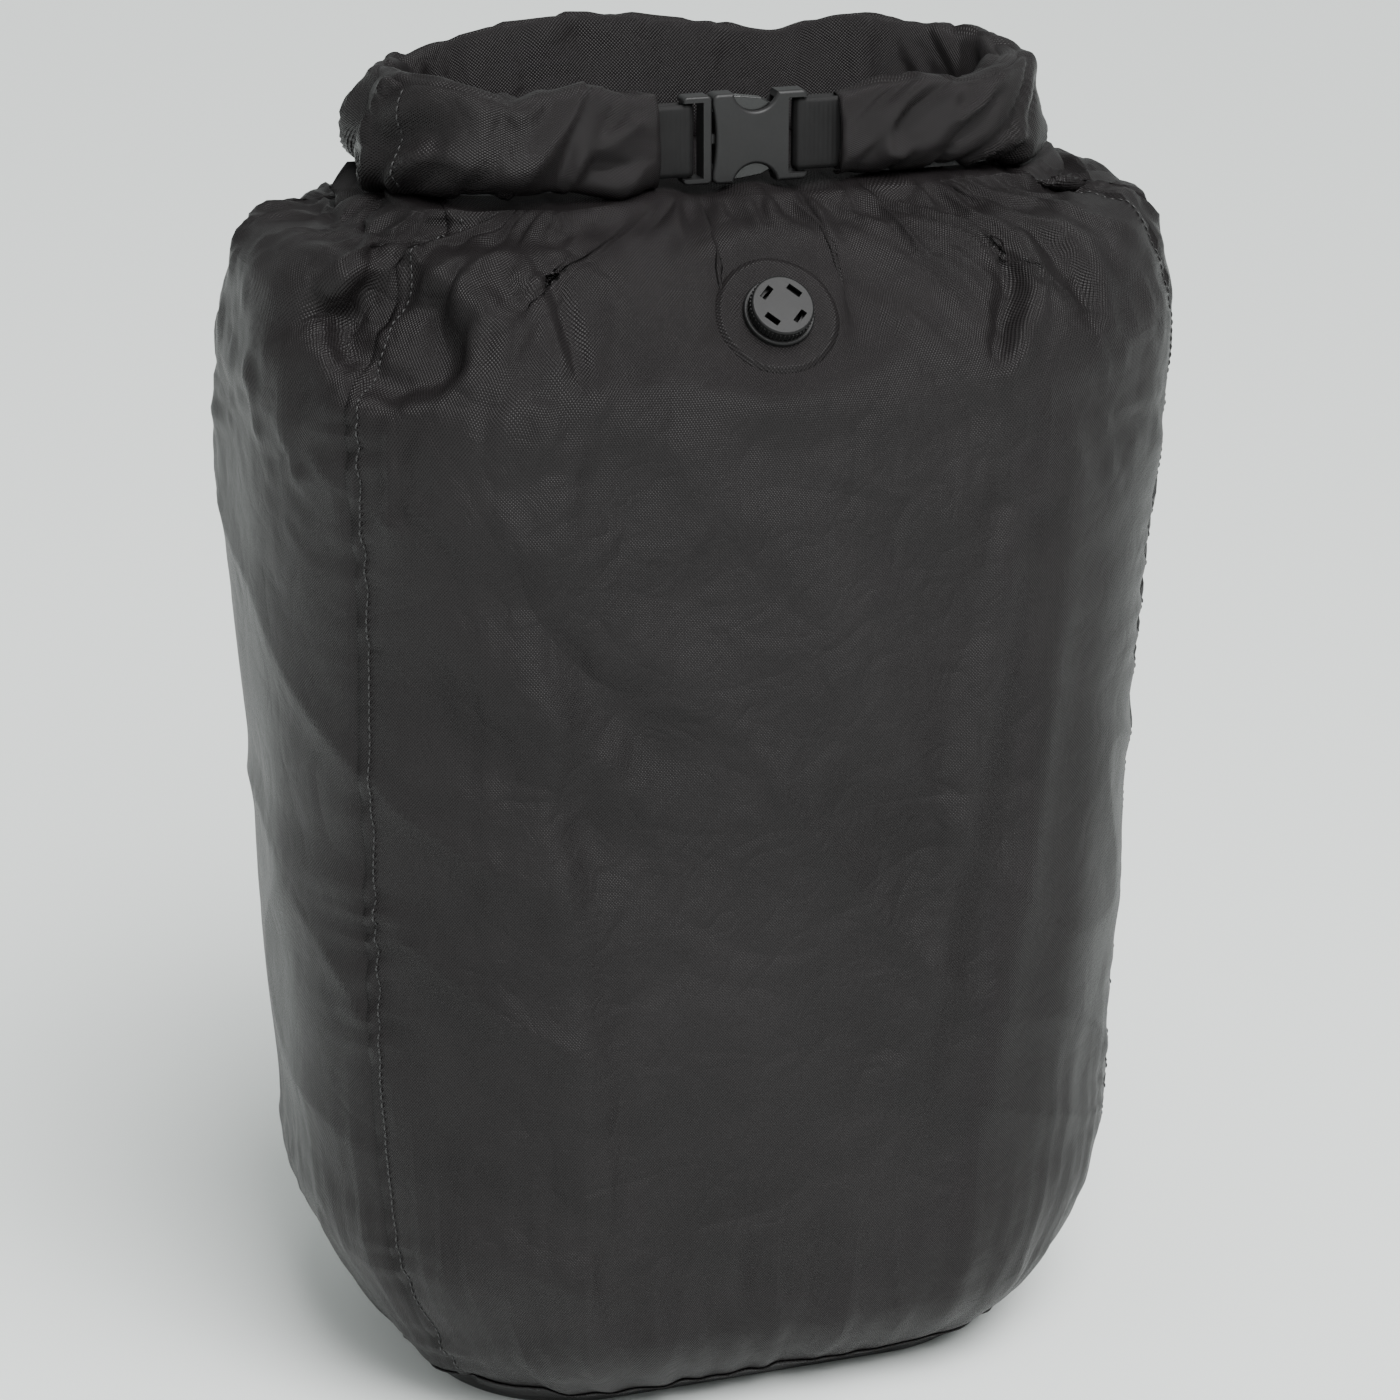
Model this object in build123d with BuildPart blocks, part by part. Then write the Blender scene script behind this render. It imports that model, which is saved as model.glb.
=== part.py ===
"""Roll-top compression sack with a side-release buckle and an air valve.

The sack stands on its base panel, +Z up, with the origin at the middle of the base.
-Y is the front, the side that carries the valve and the buckle. Units are millimetres.
"""

import os

from build123d import *
from math import cos, pi, sin, radians

os.makedirs("parts", exist_ok=True)

# ---------------------------------------------------------------- driving sizes

# Stuffed body of the sack
sack_width = 340.0
sack_depth = 226.0
body_height = 445.0
cloth = 0.6  # coated cloth with its film
corner_share = 0.8  # corner radius over half the depth of the section
base_seam_height = 10.0
foot_inset = 62.0  # how far the base lies inside the widest section, left and right
foot_inset_front = 45.0
foot_inset_back = 49.0
foot_rounding = 70.0  # height over which the foot swells out to the sides
side_taper = 11.0  # how much narrower the body is just above the foot, left and right
shoulder_rounding = 72.0  # height over which the sides turn in to the shoulder
neck_flare = 12.0  # how much wider the gathered neck is than the roll, left and right
seam_share = 0.9  # where the corner seams run, over half the width

# Seam tape bonded over each seam on the inside
tape_width = 22.0
tape_thickness = 0.4
tape_gap = 0.05
tape_end_gap = 1.0  # between a corner tape and the base tape

# Rolled mouth, bent round into a ring that the buckle closes
ring_straight = 154.0  # straight run at the back, between the two bends
ring_depth = 74.0  # from the middle of the back run to the middle of the front arms
ring_shift = 3.0  # the ring lies this far right of the body's middle
ring_forward = 5.0  # and this far in front of it
roll_layers = 8.0  # cloth wound over the core, on its faces
roll_layers_edge = 6.0  # and on its edges
roll_round = 11.0
core_clearance = 0.9  # round the plug, which slides into the roll's hollow core, on its faces
core_clearance_edge = 1.7
roll_lift = 0.3  # clearance between the roll and the body's neck

# Stiffened hem inside the roll
hem_margin = 2.5  # hem beyond the webbing, top and bottom
hem_fit = 0.15  # between the hem and each leg of a webbing tab
hem_edge = 3.0  # hem beyond the stiffener, top and bottom
stiffener_thickness = 1.5
stiffener_end_gap = 3.0
hem_slack = 0.1

# Webbing tabs
webbing_width = 25.0
webbing_thickness = 1.4
webbing_slack = 0.05
tab_overlap = 15.0  # length of each tab that is sewn over the hem

# Side-release buckle, strap direction along X
buckle_shift = 5.0  # buckle centre, right of the ring's middle
buckle_thickness = 8.6
plug_inset = 0.2  # how far the plug's faces lie inside the socket's
plug_inset_edge = 0.4
left_gap = 34.0  # buckle centre to the left end of the roll
right_gap = 32.0  # buckle centre to the right end of the roll
side_wall = 2.4
face_wall = 1.9
edge_round = 1.3
web_clearance = 0.7  # between the webbing's edge and its slot, each side
bar_radius = 1.6
bar_root = 1.2  # how deep a bar's ends run into the rails
rail_clearance = 0.1
slot_length = 4.0
mouth_x = -14.0  # socket mouth, from the buckle centre
socket_body_length = 27.4
cavity_length = 25.0
base_length = 3.1  # plug's cross member
mouth_clearance = 0.3
cutout_length = 16.0
cutout_depth = 6.5
cutout_x = 1.5
window_start = -6.0
window_length = 14.8
prong_clearance = 0.3
catch_bite = 1.3
prong_reach = 22.6  # socket mouth to prong tip
root_radius = 1.4
root_gap = 0.3  # between a prong's root and the plug's cross member
guide_height = 3.2
guide_reach = 20.0

# Air valve, on the sloping front of the shoulder
valve_drop = 26.0  # below the neck
valve_inset = 15.0  # behind the deepest part of the body
valve_slope = 40.0  # degrees that the shoulder leans back here
flange_width = 7.1  # beyond the collar
flange_thickness = 1.0
flange_margin = 2.5  # flat cloth left round the flange
neck_radius = 8.5
neck_wall = 1.3
neck_below_cap = 1.4  # between the neck's rim and the underside of the cap
neck_clearance = 0.2
seat_thickness = 1.2
port_radius = 1.5
port_wall = 1.3  # between a port and the bore's wall
port_count = 5
collar_lip = 1.5  # collar beyond the cap
collar_fit = 0.02
collar_height = 2.0
membrane_thickness = 0.6
presser_thickness = 1.0
presser_clearance = 0.3
post_radius = 1.5
post_bore_clearance = 0.1
hub_wall = 1.1
seal_radius = 0.5
cap_clearance = 0.3  # between the seal and the cap's skirt
cap_wall = 1.1
cap_top = 7.0
cap_top_thickness = 1.4
cap_gap = 0.4
rib_count = 48
rib_radius = 0.35
cap_slot_inset = 4.0  # from the cap's edge to the middle of a slot
cap_slot_length = 5.4
cap_slot_width = 2.3
vent_count = 4

# ---------------------------------------------------------------- derived places

# Buckle, then the roll that its plug slides into
slot_height = webbing_width + 2 * web_clearance
buckle_height = slot_height + 2 * (side_wall + rail_clearance)
plug_height = buckle_height - 2 * plug_inset_edge
plug_thickness = buckle_thickness - 2 * plug_inset
cavity_height = buckle_height - 2 * side_wall
cavity_thickness = buckle_thickness - 2 * face_wall
prong_thickness = cavity_thickness - 2 * prong_clearance
core_height = plug_height + 2 * core_clearance_edge
core_thickness = plug_thickness + 2 * core_clearance
roll_height = core_height + 2 * roll_layers_edge
roll_thickness = core_thickness + 2 * roll_layers

# Webbing loops and the hem between their legs
loop_inner = bar_radius + webbing_slack
loop_outer = loop_inner + webbing_thickness
hem_height = webbing_width + 2 * hem_margin
hem_thickness = 2 * (loop_inner - hem_fit)
stiffener_height = hem_height - 2 * hem_edge

# Valve radii, from the neck outwards
cap_radius = neck_radius + 2 * seal_radius + cap_clearance + cap_wall
collar_radius = cap_radius + collar_lip
flange_radius = collar_radius + flange_width
bore_radius = neck_radius - neck_wall
port_circle = bore_radius - port_wall - port_radius

# Body and ring
half_width = sack_width / 2
half_depth = sack_depth / 2
slope = radians(valve_slope)
valve_height = body_height - valve_drop
valve_depth = half_depth - valve_inset
flat_half = flange_radius + flange_margin
shoulder_height = valve_height - flat_half * cos(slope)
facet_top = valve_height + flat_half * cos(slope)
ring_x = ring_straight / 2
ring_y = ring_depth / 2
neck_half_width = ring_x + ring_y + roll_thickness / 2 + neck_flare
neck_half_depth = ring_y + roll_thickness / 2
buckle_x = ring_shift + buckle_shift
front_y = -ring_forward - ring_y  # middle of the front arms
roll_centre = body_height + roll_lift + roll_height / 2

# Plane on the cloth at the valve: local Z points out of the sack, local Y up the slope.
valve_plane = Plane(
    origin=(0, -valve_depth, valve_height), x_dir=(1, 0, 0), z_dir=(0, -cos(slope), sin(slope))
)
cloth_on_slope = cloth * cos(slope)

# Plane through the middle of the buckle: local X along the strap, local Y up, local Z to the back.
strap_plane = Plane(origin=(buckle_x, front_y, roll_centre), x_dir=(1, 0, 0), z_dir=(0, 1, 0))
up = -1  # local Y of the strap plane runs down, so heights on it take this sign
bar_plane = Plane(origin=strap_plane.origin)  # level, for the webbing bars


def body_outline():
    """Sections of the body from the floor up: height, half width, depth to the front, depth to the back."""
    straight = shoulder_height - shoulder_rounding - foot_rounding
    insets = [
        (0.0, foot_inset, foot_inset_front, foot_inset_back),
        (base_seam_height, foot_inset - 10.0, foot_inset_front - 18.0, foot_inset_back - 10.0),
        (3 * base_seam_height, foot_inset - 27.0, foot_inset_front - 38.0, foot_inset_back - 26.0),
        (foot_rounding, side_taper + 4.0, 2.0, 10.0),
        (foot_rounding + 0.27 * straight, side_taper, 3.0, 3.0),
        (foot_rounding + 0.65 * straight, side_taper - 4.0, 2.0, 1.0),
        (shoulder_height - shoulder_rounding, side_taper - 7.0, 1.0, 0.0),
        (shoulder_height - 0.4 * shoulder_rounding, side_taper - 9.5, 0.0, 1.0),
    ]
    sections = [(z, half_width - x, half_depth - front, half_depth - back) for z, x, front, back in insets]
    facet_run = flat_half * sin(slope)
    facet = [
        (shoulder_height, half_width, valve_depth + facet_run, half_depth - 7.0),
        (facet_top, half_width - 4.0, valve_depth - facet_run, half_depth - 29.0),
    ]
    neck = [(body_height, neck_half_width, neck_half_depth + ring_forward, neck_half_depth - ring_forward)]
    return sections + facet + neck


def body_loft(inset):
    """Solid of the body with its walls moved in by inset."""
    outline = body_outline()
    last = len(outline) - 1
    with BuildPart() as solid:
        for i, (z, width, front, back) in enumerate(outline):
            share = 0.98 if i == last else corner_share
            height = z + inset if i == 0 else z - inset if i == last else z
            depth = (front + back) / 2
            with BuildSketch(Plane.XY.offset(height)):
                with Locations((0, (back - front) / 2)):
                    RectangleRounded(2 * (width - inset), 2 * (depth - inset), share * depth - inset)
        loft(ruled=True)
    return solid.part


def seam_block(shift, side):
    """Block whose sides follow the corner seams, moved out by shift, at the front (side -1) or back (side 1)."""
    with BuildPart() as block:
        for z, width, _, _ in body_outline():
            with BuildSketch(Plane.XY.offset(z)):
                with Locations((0, side * sack_depth / 2)):
                    Rectangle(2 * (seam_share * width + shift), sack_depth)
        loft(ruled=True)
    return block.part


# ---------------------------------------------------------------- cloth panels

outer_body = body_loft(0)
inner_body = body_loft(cloth)
front_block = seam_block(0, -1)
back_block = seam_block(0, 1)

with BuildPart() as cloth_shell:
    add(outer_body)
    add(inner_body, mode=Mode.SUBTRACT)
    split(bisect_by=Plane.XY.offset(base_seam_height), keep=Keep.TOP)

with BuildPart() as base_panel:
    add(outer_body)
    add(inner_body, mode=Mode.SUBTRACT)
    split(bisect_by=Plane.XY.offset(base_seam_height), keep=Keep.BOTTOM)

with BuildPart() as front_panel:
    add(cloth_shell.part)
    add(front_block, mode=Mode.INTERSECT)
    with BuildSketch(valve_plane.offset(-3 * cloth)):
        Circle(neck_radius + neck_clearance)
    extrude(amount=6 * cloth, mode=Mode.SUBTRACT)

with BuildPart() as back_panel:
    add(cloth_shell.part)
    add(back_block, mode=Mode.INTERSECT)

with BuildPart() as both_gussets:
    add(cloth_shell.part)
    add(front_block, mode=Mode.SUBTRACT)
    add(back_block, mode=Mode.SUBTRACT)

gussets = both_gussets.part.solids().sort_by(Axis.X)
with BuildPart() as left_gusset:
    add(gussets[0])
with BuildPart() as right_gusset:
    add(gussets[-1])

# ---------------------------------------------------------------- seam tapes

with BuildPart() as tape_layer:
    add(body_loft(cloth + tape_gap))
    add(body_loft(cloth + tape_gap + tape_thickness), mode=Mode.SUBTRACT)

base_tape_top = base_seam_height + tape_width / 2
with BuildPart() as base_seam_tape:
    add(tape_layer.part)
    split(bisect_by=Plane.XY.offset(base_tape_top), keep=Keep.BOTTOM)
    split(bisect_by=Plane.XY.offset(2 * cloth), keep=Keep.TOP)


with BuildPart() as corner_tapes:
    for side in (-1, 1):
        add(seam_block(tape_width / 2, side))
        add(seam_block(-tape_width / 2, side), mode=Mode.SUBTRACT)
    add(tape_layer.part, mode=Mode.INTERSECT)
    split(bisect_by=Plane.XY.offset(base_tape_top + tape_end_gap), keep=Keep.TOP)
    split(bisect_by=Plane.XY.offset(facet_top), keep=Keep.BOTTOM)

front_tapes = corner_tapes.part.solids().sort_by(Axis.Y)[:2].sort_by(Axis.X)
rear_tapes = corner_tapes.part.solids().sort_by(Axis.Y)[2:].sort_by(Axis.X)
with BuildPart() as front_left_seam_tape:
    add(front_tapes[0])
with BuildPart() as front_right_seam_tape:
    add(front_tapes[1])
with BuildPart() as rear_left_seam_tape:
    add(rear_tapes[0])
with BuildPart() as rear_right_seam_tape:
    add(rear_tapes[1])

# ---------------------------------------------------------------- rolled mouth


def ring_path(left_end, right_end):
    """C-shaped line of the roll, from its left end at the front, round the back, to its right end."""
    with BuildLine(Plane(origin=(ring_shift, -ring_forward, roll_centre))) as path:
        Line((left_end - ring_shift, -ring_y), (-ring_x, -ring_y))
        ThreePointArc((-ring_x, -ring_y), (-ring_x - ring_y, 0), (-ring_x, ring_y))
        Line((-ring_x, ring_y), (ring_x, ring_y))
        ThreePointArc((ring_x, ring_y), (ring_x + ring_y, 0), (ring_x, -ring_y))
        Line((ring_x, -ring_y), (right_end - ring_shift, -ring_y))
    return path.line


roll_left = buckle_x - left_gap
roll_right = buckle_x + right_gap
prong_travel = prong_reach + mouth_clearance + 0.1
plug_left = mouth_x - mouth_clearance - base_length - slot_length - 2 * bar_radius
hem_left = buckle_x + plug_left - prong_travel - 1.5
right_bar_x = mouth_x + socket_body_length + slot_length + bar_radius
hem_right = roll_right + 14.0


def end_plane(x):
    """Upright plane across the left front arm of the roll, at x."""
    return Plane(origin=(x, front_y, roll_centre), x_dir=(0, 1, 0), z_dir=(1, 0, 0))


with BuildPart() as rolled_mouth:
    with BuildSketch(end_plane(roll_left)):
        RectangleRounded(roll_thickness, roll_height, roll_round)
        Rectangle(core_thickness, core_height, mode=Mode.SUBTRACT)
    sweep(path=ring_path(roll_left, roll_right))

with BuildPart() as mouth_hem:
    with BuildSketch(end_plane(hem_left)):
        Rectangle(hem_thickness, hem_height)
        Rectangle(stiffener_thickness + hem_slack, stiffener_height + hem_slack, mode=Mode.SUBTRACT)
    sweep(path=ring_path(hem_left, hem_right))

with BuildPart() as mouth_stiffener:
    with BuildSketch(end_plane(hem_left - stiffener_end_gap)):
        Rectangle(stiffener_thickness, stiffener_height)
    sweep(path=ring_path(hem_left - stiffener_end_gap, hem_right + stiffener_end_gap))

# ---------------------------------------------------------------- webbing tabs

left_bar_x = plug_left + bar_radius


def webbing_tab(bar_x, leg_end):
    """Webbing folded round a bar at bar_x, with both legs running to leg_end, from the buckle centre."""
    leg = abs(leg_end - bar_x)
    middle = (leg_end + bar_x) / 2
    plane = Plane(origin=(buckle_x, front_y, roll_centre - webbing_width / 2))
    with BuildPart() as tab:
        with BuildSketch(plane):
            with Locations((bar_x, 0)):
                Circle(loop_outer)
                Circle(loop_inner, mode=Mode.SUBTRACT)
            with Locations((middle, 0)):
                Rectangle(leg, 2 * loop_inner, mode=Mode.SUBTRACT)
            with Locations((middle, 0)):
                Rectangle(leg, 2 * loop_outer)
                Rectangle(leg, 2 * loop_inner, mode=Mode.SUBTRACT)
            with Locations((bar_x, 0)):
                Circle(loop_inner, mode=Mode.SUBTRACT)
        extrude(amount=webbing_width)
    return tab.part


with BuildPart() as left_webbing_tab:
    add(webbing_tab(left_bar_x, hem_left - buckle_x - tab_overlap))
with BuildPart() as right_webbing_tab:
    add(webbing_tab(right_bar_x, hem_right - buckle_x + tab_overlap))

# ---------------------------------------------------------------- buckle

socket_end = right_bar_x + bar_radius
body_end = mouth_x + socket_body_length


def at_buckle(x, z):
    """Point on the strap plane, from lengthwise x and height z."""
    return (x, up * z)


with BuildPart() as buckle_socket:
    with BuildSketch(strap_plane.offset(-buckle_thickness / 2)):
        with Locations(((mouth_x + socket_end) / 2, 0)):
            RectangleRounded(socket_end - mouth_x, buckle_height, 2.2)
        arc_radius = ((cutout_length / 2) ** 2 + cutout_depth**2) / (2 * cutout_depth)
        arc_height = buckle_height / 2 - cutout_depth + arc_radius
        with Locations((cutout_x, arc_height), (cutout_x, -arc_height)):
            Circle(arc_radius, mode=Mode.SUBTRACT)
        with Locations((mouth_x - 58.8, 0)):
            Circle(60, mode=Mode.SUBTRACT)
    extrude(amount=buckle_thickness)
    fillet(buckle_socket.edges().filter_by(Plane.XZ), edge_round)
    with BuildSketch(strap_plane.offset(-cavity_thickness / 2)):
        with Locations((mouth_x + cavity_length / 2 - 1, 0)):
            Rectangle(cavity_length + 2, cavity_height)
    extrude(amount=cavity_thickness, mode=Mode.SUBTRACT)
    with BuildSketch(strap_plane.offset(-prong_thickness / 2 - prong_clearance)):
        with Locations((window_start + window_length / 2, 0)):
            Rectangle(window_length, buckle_height + 2)
            Rectangle(window_length, cavity_height - 2, mode=Mode.SUBTRACT)
    extrude(amount=prong_thickness + 2 * prong_clearance, mode=Mode.SUBTRACT)
    with BuildSketch(strap_plane.offset(-buckle_thickness)):
        with Locations((body_end + slot_length, 0)):
            Rectangle(2 * slot_length, slot_height)
    extrude(amount=2 * buckle_thickness, mode=Mode.SUBTRACT)
    with BuildSketch(bar_plane):
        with Locations((right_bar_x, 0)):
            Circle(bar_radius)
    extrude(amount=slot_height / 2 + bar_root, both=True)

base_right = mouth_x - mouth_clearance
base_left = base_right - base_length
with BuildPart() as buckle_plug:
    with BuildSketch(strap_plane.offset(-plug_thickness / 2)):
        with Locations(((plug_left + base_right) / 2, 0)):
            RectangleRounded(base_right - plug_left, plug_height, 1.6)
    extrude(amount=plug_thickness)
    fillet(buckle_plug.edges().filter_by(Plane.XZ), 0.9)
    with BuildSketch(strap_plane.offset(-buckle_thickness)):
        with Locations((base_left - slot_length, 0)):
            Rectangle(2 * slot_length, slot_height)
    extrude(amount=2 * buckle_thickness, mode=Mode.SUBTRACT)
    with BuildSketch(bar_plane):
        with Locations((left_bar_x, 0)):
            Circle(bar_radius)
    extrude(amount=slot_height / 2 + bar_root, both=True)
    with BuildSketch(strap_plane.offset(-prong_thickness / 2 + 0.2)):
        with Locations((base_right + guide_reach / 2 - 0.5, 0)):
            RectangleRounded(guide_reach + 1, guide_height, 1.2)
    extrude(amount=prong_thickness - 0.4)

pivot_x = base_right + root_gap + root_radius
pivot_z = cavity_height / 2 - 3.1
catch_z = cavity_height / 2 + catch_bite
catch_x = window_start + prong_clearance
tip_x = mouth_x + prong_reach


def prong(side):
    """Spring prong above (side 1) or below (side -1) the middle: round root, thin arm, pad and catch."""
    inner_z = pivot_z - root_radius
    with BuildPart() as one:
        with BuildSketch(strap_plane.offset(-prong_thickness / 2)):
            with Locations(at_buckle(pivot_x, side * pivot_z)):
                Circle(root_radius)
            with BuildLine():
                Polyline(
                    at_buckle(pivot_x, side * (pivot_z - root_radius)),
                    at_buckle(catch_x + 1, side * (inner_z - 0.4)),
                    at_buckle(tip_x - 1.6, side * (inner_z - 0.6)),
                    at_buckle(tip_x, side * (inner_z + 1.0)),
                    at_buckle(tip_x - 0.4, side * (catch_z - 3.2)),
                    at_buckle(tip_x - 4.5, side * (catch_z - 1.2)),
                    at_buckle(catch_x + 2.2, side * (catch_z - 0.1)),
                    at_buckle(catch_x, side * catch_z),
                    at_buckle(catch_x, side * (pivot_z + root_radius)),
                    at_buckle(pivot_x, side * (pivot_z + root_radius)),
                    close=True,
                )
            make_face()
        extrude(amount=prong_thickness)
        pad_edges = one.edges().filter_by(Plane.XZ).filter_by(lambda e: e.center().X > buckle_x + catch_x + 0.5)
        fillet(pad_edges, 0.5)
    return one.part


with BuildPart() as upper_prong:
    add(prong(1))
with BuildPart() as lower_prong:
    add(prong(-1))

# ---------------------------------------------------------------- air valve

inside_face = -cloth_on_slope - 0.05
flange_bottom = inside_face - flange_thickness
seat_top = flange_bottom + seat_thickness
membrane_radius = bore_radius - presser_clearance
presser_bottom = seat_top + membrane_thickness + 0.1
presser_top = presser_bottom + presser_thickness
cap_under = cap_top - cap_top_thickness
post_bore = post_radius + post_bore_clearance
hub_radius = post_bore + hub_wall
hub_top = cap_under - presser_clearance
skirt_inner = cap_radius - cap_wall
cap_bottom = collar_height + cap_gap

with BuildPart() as valve_body:
    with BuildSketch(valve_plane.offset(flange_bottom)):
        Circle(flange_radius)
    extrude(amount=flange_thickness)
    with BuildSketch(valve_plane.offset(flange_bottom)):
        Circle(neck_radius)
    extrude(amount=cap_under - neck_below_cap - flange_bottom)
    with BuildSketch(valve_plane.offset(seat_top)):
        Circle(bore_radius)
    extrude(amount=cap_top, mode=Mode.SUBTRACT)
    with BuildSketch(valve_plane.offset(flange_bottom - 1)):
        with PolarLocations(port_circle, port_count):
            Circle(port_radius)
    extrude(amount=seat_thickness + 2, mode=Mode.SUBTRACT)

with BuildPart() as valve_collar:
    with BuildSketch(valve_plane.offset(0.05)):
        Circle(collar_radius)
        Circle(neck_radius + collar_fit, mode=Mode.SUBTRACT)
    extrude(amount=collar_height - 0.05)
    fillet(valve_collar.edges().filter_by(GeomType.CIRCLE).group_by(Axis((0, 0, 0), valve_plane.z_dir))[-1], 0.6)

with BuildPart() as valve_membrane:
    with BuildSketch(valve_plane.offset(seat_top)):
        Circle(membrane_radius)
    extrude(amount=membrane_thickness)

with BuildPart() as valve_seal:
    with BuildSketch(Plane(origin=valve_plane.origin, x_dir=(1, 0, 0), z_dir=valve_plane.y_dir)):
        with Locations((neck_radius + seal_radius, -(collar_height + seal_radius))):
            Circle(seal_radius)
    revolve(axis=Axis(valve_plane.origin, valve_plane.z_dir))

with BuildPart() as valve_presser:
    with BuildSketch(valve_plane.offset(presser_bottom)):
        Circle(membrane_radius)
        with PolarLocations(port_circle, port_count, start_angle=180 / port_count):
            Circle(port_radius, mode=Mode.SUBTRACT)
    extrude(amount=presser_thickness)
    with BuildSketch(valve_plane.offset(presser_bottom)):
        Circle(hub_radius)
    extrude(amount=hub_top - presser_bottom)
    with BuildSketch(valve_plane.offset(presser_bottom)):
        Circle(post_bore)
    extrude(amount=hub_top, mode=Mode.SUBTRACT)

with BuildPart() as valve_cap:
    with BuildSketch(valve_plane.offset(cap_bottom)):
        Circle(cap_radius)
    extrude(amount=cap_top - cap_bottom)
    fillet(valve_cap.edges().filter_by(GeomType.CIRCLE).group_by(Axis((0, 0, 0), valve_plane.z_dir))[-1], 0.8)
    with BuildSketch(valve_plane.offset(cap_bottom)):
        with PolarLocations(cap_radius, rib_count):
            Circle(rib_radius)
    extrude(amount=cap_under - cap_bottom)
    with BuildSketch(valve_plane.offset(cap_bottom - 1)):
        Circle(skirt_inner)
    extrude(amount=cap_under - cap_bottom + 1, mode=Mode.SUBTRACT)
    with BuildSketch(valve_plane.offset(presser_top + presser_clearance)):
        Circle(post_radius)
    extrude(amount=cap_under - presser_top)
    with BuildSketch(valve_plane.offset(cap_under - 1)):
        with PolarLocations(cap_radius - cap_slot_inset, vent_count, start_angle=180 / vent_count):
            Rectangle(cap_slot_width, cap_slot_length)
    extrude(amount=cap_top_thickness + 2, mode=Mode.SUBTRACT)

# ---------------------------------------------------------------- export

pieces = {
    "front_panel": front_panel,
    "back_panel": back_panel,
    "left_gusset": left_gusset,
    "right_gusset": right_gusset,
    "base_panel": base_panel,
    "base_seam_tape": base_seam_tape,
    "front_left_seam_tape": front_left_seam_tape,
    "front_right_seam_tape": front_right_seam_tape,
    "rear_left_seam_tape": rear_left_seam_tape,
    "rear_right_seam_tape": rear_right_seam_tape,
    "rolled_mouth": rolled_mouth,
    "mouth_hem": mouth_hem,
    "mouth_stiffener": mouth_stiffener,
    "left_webbing_tab": left_webbing_tab,
    "right_webbing_tab": right_webbing_tab,
    "buckle_socket": buckle_socket,
    "buckle_plug": buckle_plug,
    "upper_prong": upper_prong,
    "lower_prong": lower_prong,
    "valve_body": valve_body,
    "valve_collar": valve_collar,
    "valve_membrane": valve_membrane,
    "valve_seal": valve_seal,
    "valve_presser": valve_presser,
    "valve_cap": valve_cap,
}
for name, piece in pieces.items():
    piece.part.label = name
    export_step(piece.part, f"parts/{name}.step")
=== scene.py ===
"""Looks of the roll-top compression sack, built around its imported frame, in metres."""

import logging
import math
from collections.abc import Callable
from dataclasses import dataclass, field
from enum import Enum

import bpy
import numpy as np
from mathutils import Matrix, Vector, noise


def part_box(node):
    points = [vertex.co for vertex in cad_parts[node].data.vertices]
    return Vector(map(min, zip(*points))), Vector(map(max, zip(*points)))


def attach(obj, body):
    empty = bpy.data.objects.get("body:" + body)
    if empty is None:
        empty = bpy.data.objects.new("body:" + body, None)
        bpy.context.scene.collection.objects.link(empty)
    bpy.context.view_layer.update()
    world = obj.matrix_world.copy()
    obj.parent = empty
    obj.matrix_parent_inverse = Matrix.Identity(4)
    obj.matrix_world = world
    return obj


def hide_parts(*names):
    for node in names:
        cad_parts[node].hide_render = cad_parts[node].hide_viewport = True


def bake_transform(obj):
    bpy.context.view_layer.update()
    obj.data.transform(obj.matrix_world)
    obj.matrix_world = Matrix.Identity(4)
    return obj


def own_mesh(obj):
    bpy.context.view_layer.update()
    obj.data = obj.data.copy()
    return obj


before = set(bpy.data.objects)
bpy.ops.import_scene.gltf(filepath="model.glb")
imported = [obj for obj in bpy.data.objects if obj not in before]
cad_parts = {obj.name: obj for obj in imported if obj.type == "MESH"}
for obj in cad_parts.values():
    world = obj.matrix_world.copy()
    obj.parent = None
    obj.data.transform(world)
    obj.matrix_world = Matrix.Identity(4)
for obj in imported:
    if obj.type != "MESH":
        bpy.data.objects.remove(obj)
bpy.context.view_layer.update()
LOG = logging.getLogger("sack")
Piece = bpy.types.Object
Tree = bpy.types.NodeTree
Socket = bpy.types.NodeSocket
MM = 0.001
CLOTH_WALL = 0.6 * MM
TAPE_WALL = 0.15 * MM
TAPE_GAP = 2.1 * MM  # sealing tape behind the cloth's outer face
BASE_TAPE_GAP = 1.9 * MM
CRINKLE_SIZE = 55 * MM
COLUMN_PITCH = 2.72 * MM  # between the fine skin's columns, along the cloth


# ---------------------------------------------------------------- small helpers


def smooth_step(low: float, high: float, value: np.ndarray) -> np.ndarray:
    """Smooth rise from 0 at low to 1 at high.

    Args:
        low: Where the rise starts.
        high: Where it ends.
        value: Values to map.

    Returns:
        The rise at each value.
    """
    t = np.clip((np.asarray(value, float) - low) / (high - low), 0, 1)
    return t * t * (3 - 2 * t)


def soft_noise(points: np.ndarray, size: float | tuple, seed: float) -> np.ndarray:
    """Smooth noise from -1 to 1 at each point.

    Args:
        points: Points, one row each.
        size: Distance over which the noise changes, one for all axes or one for each.
        seed: Offset that picks another pattern.

    Returns:
        One value for each point.
    """
    shift = Vector((seed, 2.3 * seed, -1.7 * seed))
    if isinstance(size, tuple):
        points, size = np.asarray(points) / np.array(size), 1.0
    return np.array([noise.noise(Vector(p) / size + shift) for p in points])


def deselect_all() -> None:
    """Deselect everything, so that an operator acts only on what is chosen next."""
    for obj in bpy.context.selected_objects:
        obj.select_set(False)


def make_active(obj: Piece) -> None:
    """Select one object alone and make it the active one."""
    deselect_all()
    obj.select_set(True)
    bpy.context.view_layer.objects.active = obj


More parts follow.
